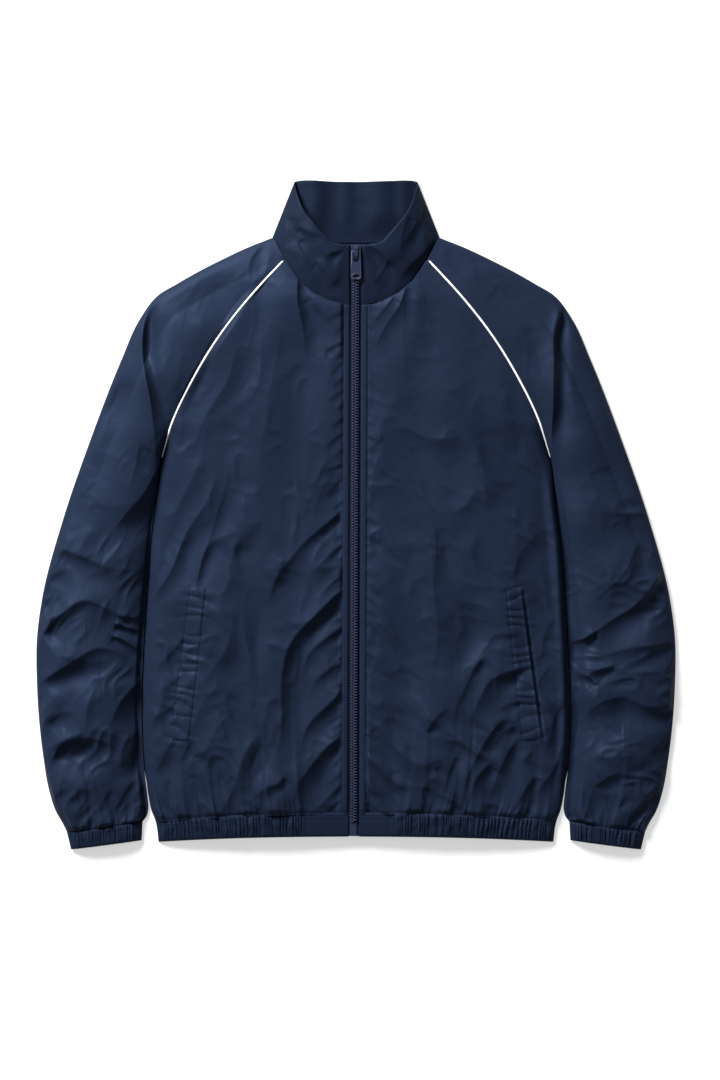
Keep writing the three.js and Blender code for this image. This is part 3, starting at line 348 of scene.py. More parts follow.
def creases(x, y, size, turn, stretch, seed):
    # a net of crisp ridges with flat facets between, drawn out along one direction
    along = x * math.cos(turn) + y * math.sin(turn)
    across = -x * math.sin(turn) + y * math.cos(turn)
    along = along / stretch + 0.35 * size * uneven(x, y, 2 * size, seed + 1)
    across = across + 0.35 * size * uneven(x, y, 2 * size, seed + 2)
    net = np.abs(uneven(along, across, size, seed))
    patch = ease(uneven(x, y, 2.6 * size, seed + 3), -0.35, 0.55)
    return patch * (0.5 - np.minimum(net, 1))


# Welts of the pockets: their corners, and the creases that cross their two rows of stitches
weltForm = dict(innerTop=178.8, outerTop=198, innerLow=199.2, outerLow=223.2, topY=297.6, lowY=115.2,
                stitch=0.03, rungs=14, rungRise=0.8, rungReach=9, rowDip=0.7, rowHalf=1.3,
                lip=1.6, lipAt=0.96, lipHalf=2.2, slitDip=3.6, slitHalf=2.0, slitPlace=1.4)


def weltEdges(down):
    # the welt's inner and outer edge, from the zip, at a share of its length from the top
    form = weltForm
    return mix(form["innerTop"], form["innerLow"], down), mix(form["outerTop"], form["outerLow"], down)


def weltCreases(sign, x, y):
    # rungs between the rows of stitches, fading into the cloth round the welt
    form = weltForm
    down = (form["topY"] - y) / (form["topY"] - form["lowY"])
    inner, outer = weltEdges(down)
    wide = outer - inner
    across = (np.abs(x) - inner) / wide
    outside = np.maximum(np.maximum(-across, across - 1), 0) * wide
    beyond = np.maximum(np.maximum(-down, down - 1), 0) * (form["topY"] - form["lowY"])
    reach = form["rungReach"] * (0.7 + 0.6 * uneven(down * 90, x * 0, 12, 91 + sign))
    fade = np.exp(-outside / np.maximum(reach, 2)) * np.exp(-beyond / 5)
    phase = down * form["rungs"] + 0.55 * uneven(down * 200, x * 0.6, 26, 93 + sign) + 0.25 * across
    rungs = form["rungRise"] * fade * (2 * np.abs(np.sin(math.pi * phase)) ** 0.6 - 1.3)
    inside = ease(down, -0.01, 0.01) * (1 - ease(down, 0.99, 1.01))
    rows = np.zeros_like(x)
    for place in (form["stitch"], 1 - form["stitch"]):
        rows += form["rowDip"] * inside * bell((across - place) * wide, form["rowHalf"])
    if sign > 0:
        # the wearer's left pocket gapes a little along the welt's outer edge
        past = (across - 1) * wide - form["slitPlace"]
        gape = form["slitDip"] * np.sin(math.pi * np.clip(down, 0, 1)) ** 0.5 * inside
        rows += gape * np.exp(-((past / form["slitHalf"]) ** 4))
        rows -= form["lip"] * inside * bell((across - form["lipAt"]) * wide, form["lipHalf"])
    return rungs - rows


# Gathers of the elastic bands, shared by a band and the cloth above it
gatherForm = dict(hemCount=37, cuffCount=20, jitter=0.75, flatRight=0.235, flatLeft=0.17, hemTo=0.99)


def gatherPhase(along, count, seed):
    # uneven phase of the gathers, so that they differ in width
    flat = np.zeros_like(along)
    return count * along + gatherForm["jitter"] * uneven(along * count, flat, 1.6, seed)


def hemGathers(sign, q):
    # phase of the hem's gathers, and a mask that leaves a flat stretch beside the zip
    form = gatherForm
    flat = form["flatRight"] if sign < 0 else form["flatLeft"]
    along = (q - flat) / (form["hemTo"] - flat)
    mask = ease(along, -0.02, 0.04) * (1 - ease(q, 0.975, 1))
    return gatherPhase(along, form["hemCount"], 40 + sign), mask


def cuffGathers(sign, u):
    return gatherPhase((u - 0.02) / 0.96, gatherForm["cuffCount"], 50 + sign)


def gatherWave(phase):
    # rounded ridges between sharp valleys, from 0 to 1
    return np.abs(np.sin(math.pi * phase)) ** 0.62


def puckersAbove(phase, rise, reach, seed):
    # what is left of the gathers at rise millimetres above the seam: they lean, join and fade unevenly
    flat = np.zeros_like(phase)
    up = np.maximum(rise, 0)
    phase = phase + up * 0.05 * uneven(phase, flat, 6, seed + 2)
    lengths = reach * np.clip(0.8 + 0.7 * uneven(phase, flat, 1.3, seed), 0.3, 1.8)
    strength = np.clip(0.65 + 0.6 * uneven(phase, flat, 1.6, seed + 1), 0.1, 1.5)
    fine = gatherWave(phase) * np.exp(-up / (0.26 * lengths))
    joined = np.abs(np.sin(math.pi * (phase * 0.41 + 0.3 * seed))) ** 0.85
    middle = joined * np.exp(-up / (0.5 * lengths))
    broad = np.sin(2 * math.pi * phase * 0.13 + seed) * np.exp(-up / (1.5 * reach))
    return (strength * (0.9 * fine + 1.1 * middle) + 0.9 * broad) * mix(0.25, 1, ease(up, 0, 7))


# Shape of each panel, as functions of shares across and along it
def zipX(y):
    return garment["zipLean"] * (1 - y / garment["zipTopY"])


def sectionRise(u):
    return (1 - np.abs(2 * u - 1) ** 2.4) ** 0.6


def raglanRise(u):
    # as sectionRise, but leaving the underarm gently
    return sectionRise(u) * ease(1 - u, -0.02, 0.16)


def raglanHeight(u):
    return garment["edgeZ"] + garment["puffZ"] * raglanRise(u)


def hemSeamY(q):
    return 28.2 - 9.7 * q**2.2


def hemEndY(q):
    return -6.8 * q**2.4


def frontHeight(q, outerZ, innerZ):
    soft = np.clip((outerZ - garment["edgeZ"]) / garment["puffZ"], 0, 1)
    rise = (1 - q**3) ** mix(0.52, 1, soft)
    return outerZ + (innerZ - outerZ) * rise + 3.2 * np.sin(math.pi * q**0.9)


cloth = dict(broad=2.6, broadSize=44, middle=0.07, netFront=6.5, netSleeve=7.0, netSmall=0.32,
             netSize=40, netStretch=2.2, smallSize=15, smallStretch=2.0,
             seamDip=1.0, seamHalf=3.2, hemHalf=2.6, neckHalf=2.5,
             placket=8.0, stitchDip=0.9, stitchHalf=1.4, edgeRoll=1.6, edgeHalf=1.1, edgeDrop=1.5,
             hemPucker=3.2, hemReach=30, cuffPucker=3.4, cuffReach=28, overBand=1.2,
             bulge=3.0, bulgeFrom=12, bulgeTo=70, sideRoll=5.0, rollAt=7.0, rollHalf=6.0)


def clothNet(x, y, turn, seed, rise):
    # creases of two sizes over the whole cloth
    big = creases(x, y, cloth["netSize"], turn, cloth["netStretch"], seed)
    small = creases(x, y, cloth["smallSize"], turn + 0.5, cloth["smallStretch"], seed + 10)
    return rise * (big + cloth["netSmall"] * small)


def placketPuckers(sign, seed):
    # short creases that start at the placket's stitching, all along the zip
    rng = np.random.default_rng(seed)
    rows = []
    y = 44.0
    while y < 628:
        length = rng.uniform(9, 26)
        drop = length * rng.uniform(0.25, 0.95)
        start = (zipX(y) + sign * (garment["zipHalf"] + cloth["placket"]), y)
        end = (start[0] + sign * length, y - drop)
        rows.append((rng.uniform(0.5, 1.5), rng.uniform(2.2, 4.4), 0.75, start, end))
        y += rng.uniform(8, 21)
    return rows


frontSplit = 0.6  # share of the front's rows below the underarm


def frontSurface(sign, folds, q, v):
    # q runs from the zip to the side, v from the hem up to the neck
    up = np.clip(v / frontSplit, 0, 1)
    above = np.clip((v - frontSplit) / (1 - frontSplit), 0, 1)
    lowY, sideY = (mix(hemSeamY(at) - cloth["overBand"], garment["underarm"][1], up) for at in (q, 1))
    lowX = mix(zipX(lowY) + sign * garment["zipHalf"], sign * curveAt(sideSeam, sideY), q)
    outer = alongLine(frontRaglan, 1 - above)
    shares, acrossX, upY = np.array(frontInner).T
    innerX, innerY = np.interp(above, shares, acrossX), np.interp(above, shares, upY)
    innerX = sign * innerX + zipX(innerY) * (above < 0.67)
    isLow = v <= frontSplit
    x = np.where(isLow, lowX, mix(innerX, sign * outer[..., 0], q))
    y = np.where(isLow, lowY, mix(innerY, outer[..., 1], q))
    zipZ = np.where(isLow, curveAt(zipHeights, lowY), curveAt(zipHeights, innerY))
    zipZ = np.where(above > neckShare, curveAt(frontNeckZ, above), zipZ)
    outerZ = np.where(isLow, garment["edgeZ"], raglanHeight(1 - 0.89 * above))
    z = mix(frontHeight(q, outerZ, zipZ), mix(zipZ, outerZ, q), ease(above, 0.76, 1))
    # folds and creases, calmer on the chest and gone at the seams
    fromEdge = np.abs(x - np.where(y < neckY, zipX(y), 0)) - garment["zipHalf"]
    seamFade = (1 - ease(q, 0.93, 1)) * (1 - 0.75 * ease(above, 0.93, 1))
    free = ease(fromEdge, cloth["placket"] - 1.5, cloth["placket"] + 5) * seamFade
    calm = mix(1, 0.4, ease(y, 330, 560))
    broad = cloth["broad"] * uneven(x, 0.45 * y, cloth["broadSize"], 21)
    z = z + free * (foldHeights(folds, x, y) + broad)
    z = z + free * clothNet(x, y, math.pi / 2 + sign * 0.35, 23 + sign, cloth["netFront"] * calm)
    z = z + weltCreases(sign, x, y)
    z = z + seamFade * cloth["middle"] * uneven(x, y, 9, 22)
    # placket: rolled edge, stitched groove and creases that spring from it
    nearZip = y < 640
    z = z - nearZip * cloth["edgeRoll"] * bell(fromEdge, cloth["edgeHalf"])
    z = z - nearZip * cloth["stitchDip"] * bell(fromEdge - cloth["placket"], cloth["stitchHalf"])
    z = z + nearZip * foldHeights(placketPuckers(sign, 5 + sign), x, y) * ease(fromEdge, 6.5, 9)
    # seams: the cloth dips into the raglan, hem and neck seams and puffs up over the hem
    across = (1 - q) * np.abs(curveAt(sideSeam, y))
    z = z - cloth["seamDip"] * ~isLow * bell(across, cloth["seamHalf"])
    overHem = y - hemSeamY(q)
    phase, gathered = hemGathers(sign, q)
    puckers = puckersAbove(phase, overHem, cloth["hemReach"], 60 + sign)
    z = z + gathered * cloth["hemPucker"] * puckers * isLow
    z = z - cloth["seamDip"] * bell(overHem, cloth["hemHalf"]) * isLow
    billow = 1 - np.exp(-np.maximum(overHem, 0) / cloth["bulgeFrom"])
    billow = billow * np.exp(-overHem / cloth["bulgeTo"])
    z = z + cloth["bulge"] * billow * seamFade * mix(0.4, 1, gathered)
    # on the wearer's left the side seam rolls over the sleeve beside it
    fromSide = np.abs(sign * curveAt(sideSeam, np.minimum(y, 448)) - x)
    roll = bell(fromSide - cloth["rollAt"], cloth["rollHalf"]) * isLow * (sign > 0)
    z = z + cloth["sideRoll"] * roll * ease(y, 30, 90) * (1 - ease(y, 400, 448))
    z = z - cloth["edgeDrop"] * ease(q, 0.992, 1)
    fromNeck = q * 130 * (above > neckShare)
    z = z - cloth["seamDip"] * (above > neckShare) * bell(fromNeck, cloth["neckHalf"])
    return np.column_stack([x, y, np.maximum(z, 1.6)])


sleeveForm = dict(topShare=0.78, roundAt=3.0, tuckRight=9, tuckLeft=22, length=830)


def sleevePlan(sign, u, v, under):
    # u runs from the outer fold to the inner one, v from the raglan seam to the cuff
    outer = alongLine(sleeveOuter, v)
    inner = alongLine(sleeveInner, v**1.35)
    bend = (1 - v) ** 1.5
    fold, arm = garment["neckFold"], garment["underarm"]
    corner = garment["neckBack"] if under else garment["neckCorner"]
    top = 0.12 if under else 0.11
    seam = alongLine(backRaglan if under else frontRaglan, np.clip((u - top) / (1 - top), 0, 1))
    onNeck = np.clip(u / top, 0, 1)
    flat = []
    for axis in (0, 1):
        onSeam = np.where(u < top, mix(fold[axis], corner[axis], onNeck), seam[..., axis])
        straight = mix(outer[..., axis], inner[..., axis], u)
        flat.append(straight + bend * (onSeam - mix(fold[axis], arm[axis], u)))
    return sign * flat[0], flat[1], outer[..., 2]


def tubeShare(a):
    # whether a point is on top of a flattened tube, and its share across from the outer fold
    top = sleeveForm["topShare"]
    return a <= top, np.where(a <= top, a / top, (1 - a) / (1 - top))


def underHeight(u, width):
    # the tube's underside lies flat, with round folds at its two edges
    inset = np.clip(np.minimum(u, 1 - u) * width / sleeveForm["roundAt"], 0, 1)
    return garment["edgeZ"] * (1 - np.sqrt(1 - (1 - inset) ** 2))


def sleeveSurface(sign, folds, a, v):
    # a runs across the top from the outer fold to the inner one, then back under it
    isTop, across = tubeShare(a)
    u = mix(across, (1 - np.cos(math.pi * across)) / 2, 0.55)
    topX, topY, puff = sleevePlan(sign, u, v, False)
    lowX, lowY, _ = sleevePlan(sign, u, v, True)
    x, y = np.where(isTop, topX, lowX), np.where(isTop, topY, lowY)
    ends = [sleevePlan(sign, np.full_like(u, end), v, False) for end in (0.0, 1.0)]
    width = np.hypot(ends[0][0] - ends[1][0], ends[0][1] - ends[1][1])
    tucked = ease((1 - u) * width, 0, sleeveForm["tuckRight" if sign < 0 else "tuckLeft"]) ** 1.5
    section = mix(raglanRise(u), sectionRise(u) * mix(1, tucked, ease(v, 0.1, 0.3)), ease(v, 0, 0.1))
    z = garment["edgeZ"] + puff * section
    free = ease(u, 0, 0.05) * (1 - ease(u, 0.96, 1)) * ease(v, 0.005, 0.03)
    net = cloth["netSleeve"] * mix(0.22, 1.1, ease(v, 0.3, 0.65))
    broad = cloth["broad"] * uneven(0.6 * x, y, cloth["broadSize"], 31)
    z = z + free * (foldHeights(folds, x, y) + broad)
    z = z + free * clothNet(x, y, sign * -0.5, 33 + sign, net)
    z = z + free * cloth["middle"] * uneven(x, y, 9, 32)
    fromRaglan, fromCuff = v * sleeveForm["length"], (1 - v) * sleeveForm["length"]
    z = z - cloth["seamDip"] * bell(fromRaglan, cloth["seamHalf"]) * (u > 0.1)
    puckers = puckersAbove(cuffGathers(sign, u), fromCuff, cloth["cuffReach"], 70 + sign)
    z = z + free * cloth["cuffPucker"] * puckers - cloth["seamDip"] * bell(fromCuff, cloth["hemHalf"])
    return np.column_stack([x, y, np.where(isTop, np.maximum(z, 2.4), underHeight(u, width))])


bandForm = dict(hemRise=3.2, cuffRise=2.7, turn=1.8, lower=0.8, rowsDip=0.5, rowHalf=0.035,
                stitchRows=(0.12, 0.26), under=1.0, tuck=1.3)


def bandWave(phase, share, seed):
    # height of the gathers across a band: pinched at the seam and at the elastic's two edges
    pinch = 0.2 + 0.8 * np.sin(math.pi * np.clip(share, 0, 1) ** 0.8) ** 0.7
    sizes = 0.8 + 0.35 * uneven(phase, share * 3, 1.4, seed)
    return gatherWave(phase) * pinch * sizes


def bandDips(share):
    # rows of stitches, the rolled lower edge and the tuck at the seam
    form = bandForm
    dips = form["turn"] * ease(share, 0.93, 1) ** 2 + form["tuck"] * (1 - ease(share, 0, 0.12))
    for row in form["stitchRows"]:
        dips = dips + form["rowsDip"] * bell(share - row, form["rowHalf"])
    return dips


def hemSurface(sign, q, share):
    y = mix(hemSeamY(q) + bandForm["under"], hemEndY(q), share)
    sideY = mix(hemSeamY(1), hemEndY(1), share)
    x = mix(zipX(y) + sign * garment["zipHalf"], sign * curveAt(sideSeam, sideY), q)
    z = frontHeight(q, garment["edgeZ"], curveAt(zipHeights, y) - bandForm["lower"])
    phase, gathered = hemGathers(sign, q)
    phase = phase + 0.12 * uneven(share * 9, q * 40, 3, 44)
    z = z + gathered * bandForm["hemRise"] * bandWave(phase, share, 45) - bandDips(share)
    return np.column_stack([x, y, np.maximum(z, 2.2)])


def cuffPlan(sign, share, u):
    outerX, outerY = (mix(a, b, share) for a, b in zip(cuff["start"], cuff["end"]))
    innerX, innerY = (mix(a, b, share) for a, b in zip(cuff["startInner"], cuff["endInner"]))
    return sign * mix(outerX, innerX, u), mix(outerY, innerY, u)


def cuffSurface(sign, a, share):
    isTop, u = tubeShare(a)
    x, y = cuffPlan(sign, share, u)
    phase = cuffGathers(sign, u) + 0.1 * uneven(share * 9, u * 20, 3, 54)
    calm = ease(sectionRise(u), 0.2, 0.7)
    z = garment["edgeZ"] + cuff["puff"] * sectionRise(u)
    z = z + calm * bandForm["cuffRise"] * bandWave(phase, share, 55) - bandDips(share)
    return np.column_stack([x, y, np.where(isTop, np.maximum(z, 2.6), underHeight(u, cuff["width"]))])


collarFolds = [
    (2.2, 4, 0.8, (-70, 728), (-54, 722), (-39, 719)),
    (2.8, 4, 0.8, (-13, 700), (-26, 697), (-39, 691)),
    (3.4, 6, 0.7, (-72, 712), (-64, 694), (-54, 672)),
    (2.4, 5, 0.7, (-47, 688), (-34, 673), (-20, 656)),
    (1.8, 4, 0.7, (-13, 672), (-24, 664), (-40, 660)),
    (4.6, 6, 0.8, (14, 708), (30, 697), (48, 681)),
    (2.6, 4, 0.8, (79, 754), (67, 728), (50, 699)),
    (4.6, 8, 0.8, (93, 721), (69, 688), (50, 664)),
    (2.6, 6, 0.8, (60, 742), (54, 714), (56, 690)),
    (3.2, 6, 0.7, (38, 690), (26, 672), (12, 657)),
    (3, 5, 0.7, (-84, 740), (-82, 722), (-88, 704)),
]
# folds of the inside stand at x, with a half width and a height
collarForm = dict(bulge=2.0, topRoll=0.9, seamDip=0.6, seamHalf=0.03, overSeam=0.014,
                  edgeDrop=1.0, edgeHalf=1.2,
                  insideFolds=[(-50, 14, 5.5), (-12, 9, 2.2), (30, 20, 5.5), (57, 8, 2.5)])


def collarSurface(a, t):
    # a runs from the zip on the wearer's right round the back to the zip on the left
    form = collarForm
    station = collarRows[-1][0] * (1 - np.abs(2 * a - 1))
    sign = np.where(a < 0.5, -1.0, 1.0)
    row = curveAt(collarRows, station)
    up = mix(-form["overSeam"], 1, t)
    x = sign * mix(row[:, 0], row[:, 3], up)
    y = mix(row[:, 1], row[:, 4], up)
    z = mix(row[:, 2], row[:, 5], np.maximum(up, 0) ** 1.2)
    x = x + zipX(y) * (1 - ease(station, 0, 1.5))
    front, back = 1 - ease(station, 4.6, 6), ease(station, 6.6, 7.6)
    z = z + front * form["bulge"] * np.sin(math.pi * up) * ease(station, 0, 1)
    z = z - front * form["topRoll"] * ease(up, 0.95, 1) ** 2
    z = z - front * form["seamDip"] * bell(up, form["seamHalf"])
    folds = foldHeights(collarFolds, x, y) + 0.25 * uneven(x, y, 14, 81)
    z = z + front * ease(station, 0.1, 0.8) * folds
    for middle, half, lift in form["insideFolds"]:
        z = z + back * lift * bell(x - middle, half) * ease(up, 0.05, 0.5)
    z = z + back * 0.5 * np.maximum(uneven(x, y, 22, 82), 0)
    edge = np.abs(x - zipX(y)) - garment["zipHalf"]
    z = z - (station < 2) * form["edgeDrop"] * bell(edge, form["edgeHalf"])
    return np.column_stack([x, y, np.clip(z, 0, None)])


# Meshes from the shapes
def sceneMm(x, y, z):
    return Vector((x * mm, (y + originY) * mm, z * mm))


def surfaceMesh(name, form, shape, closed=False, up=True):
    # a grid laid over a shape that turns two shares into garment millimetres
    body = bmesh.new()
    body.loops.layers.uv.new("UVMap")
    columns, rows = form["columns"], form["rows"]
    bmesh.ops.create_grid(body, x_segments=columns, y_segments=rows, size=0.5, calc_uvs=True)
    across, along = np.array([vertex.co[:2] for vertex in body.verts]).T + 0.5
    for vertex, place in zip(body.verts, shape(across, along)):
        vertex.co = sceneMm(*place)
    body.normal_update()
    if closed:
        bmesh.ops.remove_doubles(body, verts=body.verts, dist=0.01 * mm)
    bmesh.ops.recalc_face_normals(body, faces=body.faces)
    # the upper half of the faces looks up, except on what lies face down
    heights = sorted(face.calc_center_median().z for face in body.faces)
    upper = [face for face in body.faces if face.calc_center_median().z >= heights[len(heights) // 2]]
    facing = sum(face.normal.z * face.calc_area() for face in upper)
    if (facing > 0) != up:
        bmesh.ops.reverse_faces(body, faces=body.faces)
    return finishMesh(body, name)


def finishMesh(body, name):
    mesh = bpy.data.meshes.new(name)
    body.to_mesh(mesh)
    body.free()
    mesh.shade_smooth()
    mesh.update()
    return mesh


def addObject(name, data):
    made = bpy.data.objects.new(name, data)
    bpy.context.scene.collection.objects.link(made)
    return made


def addPiece(name, mesh, finish, nodes=(), body="jacket"):
    piece = addObject(name, mesh)
    mesh.materials.append(finishes[finish])
    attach(piece, body)
    if nodes:
        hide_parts(*nodes)
    return piece


def addCloth(name, form, shape, finish, nodes, closed=False, up=True):
    # a sheet of cloth, with a wall where its form gives one
    piece = addPiece(name, surfaceMesh(name, form, shape, closed, up), finish, nodes)
    if "wall" in form:
        shell = piece.modifiers.new("wall", "SOLIDIFY")
        shell.thickness = form["wall"] * mm
        shell.offset = -1
    return piece


# Finishes
def addNode(tree, kind, place, values=None, **settings):
    node = tree.nodes.new(kind)
    node.location = place
    for key, value in settings.items():
        setattr(node, key, value)
    for key, value in (values or {}).items():
        node.inputs[key].default_value = value
    return node


def join(tree, *links):
    # each link is a node, its output, another node and its input
    for start, output, end, given in links:
        tree.links.new(start.outputs[output], end.inputs[given])


def newGroup(name, inputs, outputs):
    group = bpy.data.node_groups.new(name, "ShaderNodeTree")
    for label, value in inputs:
        socket = group.interface.new_socket(label, in_out="INPUT", socket_type="NodeSocketFloat")
        socket.default_value = value
    for label in outputs:
        group.interface.new_socket(label, in_out="OUTPUT", socket_type="NodeSocketFloat")
    return group


def makeGrainGroup():
    # woven grain and crinkle as a height, and a slow change of tone
    group = newGroup("clothGrain", [("Thread", 0.6), ("Crinkle", 1.0)], ["Height", "Tone"])
    given = addNode(group, "NodeGroupInput", (-1100, 0))
    where = addNode(group, "ShaderNodeTexCoord", (-1100, 300))
    inMm = addNode(group, "ShaderNodeVectorMath", (-900, 300), {1: (1000, 1000, 1000)}, operation="MULTIPLY")
    perThread = addNode(group, "ShaderNodeVectorMath", (-700, 120), operation="DIVIDE")
    weave = addNode(group, "ShaderNodeMath", (-300, 20), operation="MULTIPLY")
    for index, (direction, low) in enumerate((("X", 120), ("Y", -80))):
        wave = addNode(group, "ShaderNodeTexWave", (-500, low), {"Scale": 0.314, "Distortion": 0.4},
                       wave_type="BANDS", bands_direction=direction, wave_profile="SIN")
        join(group, (perThread, 0, wave, "Vector"), (wave, "Fac", weave, index))
    crinkle = addNode(group, "ShaderNodeTexNoise", (-500, 420), {"Scale": 0.075, "Detail": 3, "Roughness": 0.5},
                      noise_type="RIDGED_MULTIFRACTAL")
    scaled = addNode(group, "ShaderNodeMath", (-300, 340), operation="MULTIPLY")
    height = addNode(group, "ShaderNodeMath", (-100, 160), {1: 0.09}, operation="MULTIPLY_ADD")
    tone = addNode(group, "ShaderNodeTexNoise", (-500, 700), {"Scale": 0.011, "Detail": 3, "Roughness": 0.5})
    result = addNode(group, "NodeGroupOutput", (120, 200))
    join(group, (where, "Object", inMm, 0), (inMm, 0, perThread, 0), (given, "Thread", perThread, 1),
         (inMm, 0, crinkle, "Vector"), (crinkle, "Fac", scaled, 0), (given, "Crinkle", scaled, 1),
         (weave, 0, height, 0), (scaled, 0, height, 2), (inMm, 0, tone, "Vector"),
         (height, 0, result, "Height"), (tone, "Fac", result, "Tone"))
    return group


grainGroup = makeGrainGroup()


def newMaterial(name, dark, light, shading):
    # a material whose colour runs from dark to light, and the nodes its own parts are joined to
    material = bpy.data.materials.new(name)
    material.use_nodes = True
    tree = material.node_tree
    tree.nodes.clear()
    tone = addNode(tree, "ShaderNodeMix", (-400, 200), data_type="RGBA")
    tone.inputs["A"].default_value = (*dark, 1)
    tone.inputs["B"].default_value = (*light, 1)
    finish = addNode(tree, "ShaderNodeBsdfPrincipled", (-100, 100), shading)
    result = addNode(tree, "ShaderNodeOutputMaterial", (200, 100))
    join(tree, (tone, "Result", finish, "Base Color"), (finish, "BSDF", result, "Surface"))
    return material, tree, tone, finish


def clothMaterial(name, dark, light, roughness, thread=0.6, crinkle=0.8, bump=0.22, sheen=0.0):
    # woven cloth: thread in millimetres, crinkle and bump as strengths
    shading = {"Roughness": roughness, "Specular IOR Level": 0.06, "Specular Tint": (0.42, 0.58, 1.0, 1),
               "Sheen Weight": sheen, "Sheen Roughness": 0.5}
    material, tree, tone, finish = newMaterial(name, dark, light, shading)
    grain = addNode(tree, "ShaderNodeGroup", (-700, 0), node_tree=grainGroup)
    grain.inputs["Thread"].default_value = thread
    grain.inputs["Crinkle"].default_value = crinkle
    dip = addNode(tree, "ShaderNodeBump", (-400, -150), {"Strength": bump, "Distance": 0.0008})
    join(tree, (grain, "Tone", tone, "Factor"), (grain, "Height", dip, "Height"),
         (dip, "Normal", finish, "Normal"))
    return material


def hardMaterial(name, color, roughness, metallic, spread):
    # moulded or enamelled finish, a little uneven in tone
    dark, light = ([c * share for c in color] for share in (1 - spread, 1 + spread))
    shading = {"Roughness": roughness, "Metallic": metallic, "Specular IOR Level": 0.22}
    material, tree, tone, _ = newMaterial(name, dark, light, shading)
    where = addNode(tree, "ShaderNodeTexCoord", (-800, 0))
    speck = addNode(tree, "ShaderNodeTexNoise", (-600, 0), {"Scale": 420, "Detail": 3})
    join(tree, (where, "Object", speck, "Vector"), (speck, "Fac", tone, "Factor"))
    return material


# dark tone, light tone and roughness, then what differs from plain nylon
finishes = dict(
    shell=clothMaterial("shellNylon", (0.0064, 0.0102, 0.0218), (0.0079, 0.0126, 0.0264), 0.5, crinkle=1.0),
    band=clothMaterial("bandNylon", (0.0052, 0.0084, 0.0186), (0.0066, 0.0106, 0.0228), 0.55),
    # inside of the collar: the shell nylon darker still, painted shade in the collar's hollow
    insideShade=clothMaterial("insideShadeNylon", (0.0040, 0.0066, 0.0150), (0.0052, 0.0084, 0.0190), 0.55),
    # collar: the shell nylon made darker, painted shade over the whole collar
    collar=clothMaterial("collarShadedNylon", (0.0038, 0.0062, 0.0136), (0.0050, 0.0080, 0.0172), 0.5),
    piping=clothMaterial("pipingCord", (0.70, 0.70, 0.70), (0.78, 0.78, 0.77), 0.7, 0.9, 0.4, 0.4, 0.2),
    tape=clothMaterial("zipTape", (0.0036, 0.006, 0.0145), (0.005, 0.008, 0.019), 0.7, 0.9, 0.4, 0.6, 0.2),
    teeth=hardMaterial("teethPlastic", (0.013, 0.017, 0.042), 0.3, 0.0, 0.12),
    enamel=hardMaterial("navyEnamel", (0.016, 0.021, 0.048), 0.34, 0.25, 0.1),
    # pull rims: worn metal, made lighter as a painted highlight
    rubAndHighlight=hardMaterial("rubbedRimAndHighlight", (0.062, 0.066, 0.105), 0.36, 0.5, 0.1),
    # thread: navy, made darker than the shell as painted shade of the stitch pits
    thread=clothMaterial("thread", (0.0026, 0.0046, 0.0125), (0.0034, 0.0060, 0.0155), 0.6, 0.3, 0.3, 0.3),
)
print("jacket: finishes made")

# Back panel and its band, flat on the table
backForm = dict(columns=60, rows=90, wall=1.2, split=0.62, seamGap=0.15, sideGap=0.2, under=1.3, topY=711.6,
                flat=(0.512, 0.70), area=0.292)
hemBackForm = dict(columns=90, rows=4, wall=1.2, flat=(0.49, 0.034), area=0.0135)


def backSurface(a, v):
    # a runs from the wearer's right side to the left one, v from the hem seam up to the neck
    form, armY = backForm, garment["underarm"][1]
    u = 2 * a - 1
    q = np.abs(u)
    below = np.clip(v / form["split"], 0, 1)
    up = np.clip((v - form["split"]) / (1 - form["split"]), 0, 1)
    lowY, sideY = (mix(hemSeamY(at) + form["seamGap"], armY, below) for at in (q, 1))
    seam = alongLine(backRaglan, 1 - up)
    under = form["under"] * ease(sideY, 62, 80) * (1 - ease(sideY, 436, 447))
    isLow = v < form["split"]
    x = np.where(isLow, (curveAt(sideSeam, sideY) + under) * q, (seam[..., 0] - form["sideGap"]) * q)
    y = np.where(isLow, lowY, mix(seam[..., 1], armY + (form["topY"] - armY) * up, 1 - q**2))
    return np.column_stack([np.sign(u) * x, y, np.zeros_like(x)])


def hemBackSurface(a, share):
    u = 2 * a - 1
    y = mix(hemSeamY(np.abs(u)) - backForm["seamGap"], hemEndY(np.abs(u)), share)
    x = u * curveAt(sideSeam, mix(hemSeamY(1), hemEndY(1), share))
    return np.column_stack([x, y, np.zeros_like(x)])


addCloth("backPanel", backForm, backSurface, "shell", ["back"], up=False)
addCloth("hemBackBand", hemBackForm, hemBackSurface, "band", ["hem_back"], up=False)
print("jacket: back laid")

# Fronts, with the hem bands below them
frontForm = dict(columns=220, rows=400, flat=(0.25, 0.67), area=0.142)
hemForm = dict(columns=400, rows=16, wall=1.2, flat=(0.25, 0.036), area=0.0073)
frontFolds = dict(right=rightFrontFolds, left=leftFrontFolds)
fronts = []
for side, sign in sides:
    def frontShape(a, v):
        return frontSurface(sign, frontFolds[side], mix(a, (1 - np.cos(math.pi * a)) / 2, 0.5), v)

    def hemShape(a, v):
        return hemSurface(sign, a, v)

    fronts.append(addCloth(side + "Front", frontForm, frontShape, "shell", ["front_" + side]))
    addCloth(side + "HemBand", hemForm, hemShape, "band", ["hem_front_" + side])
print("jacket: fronts and hem laid")

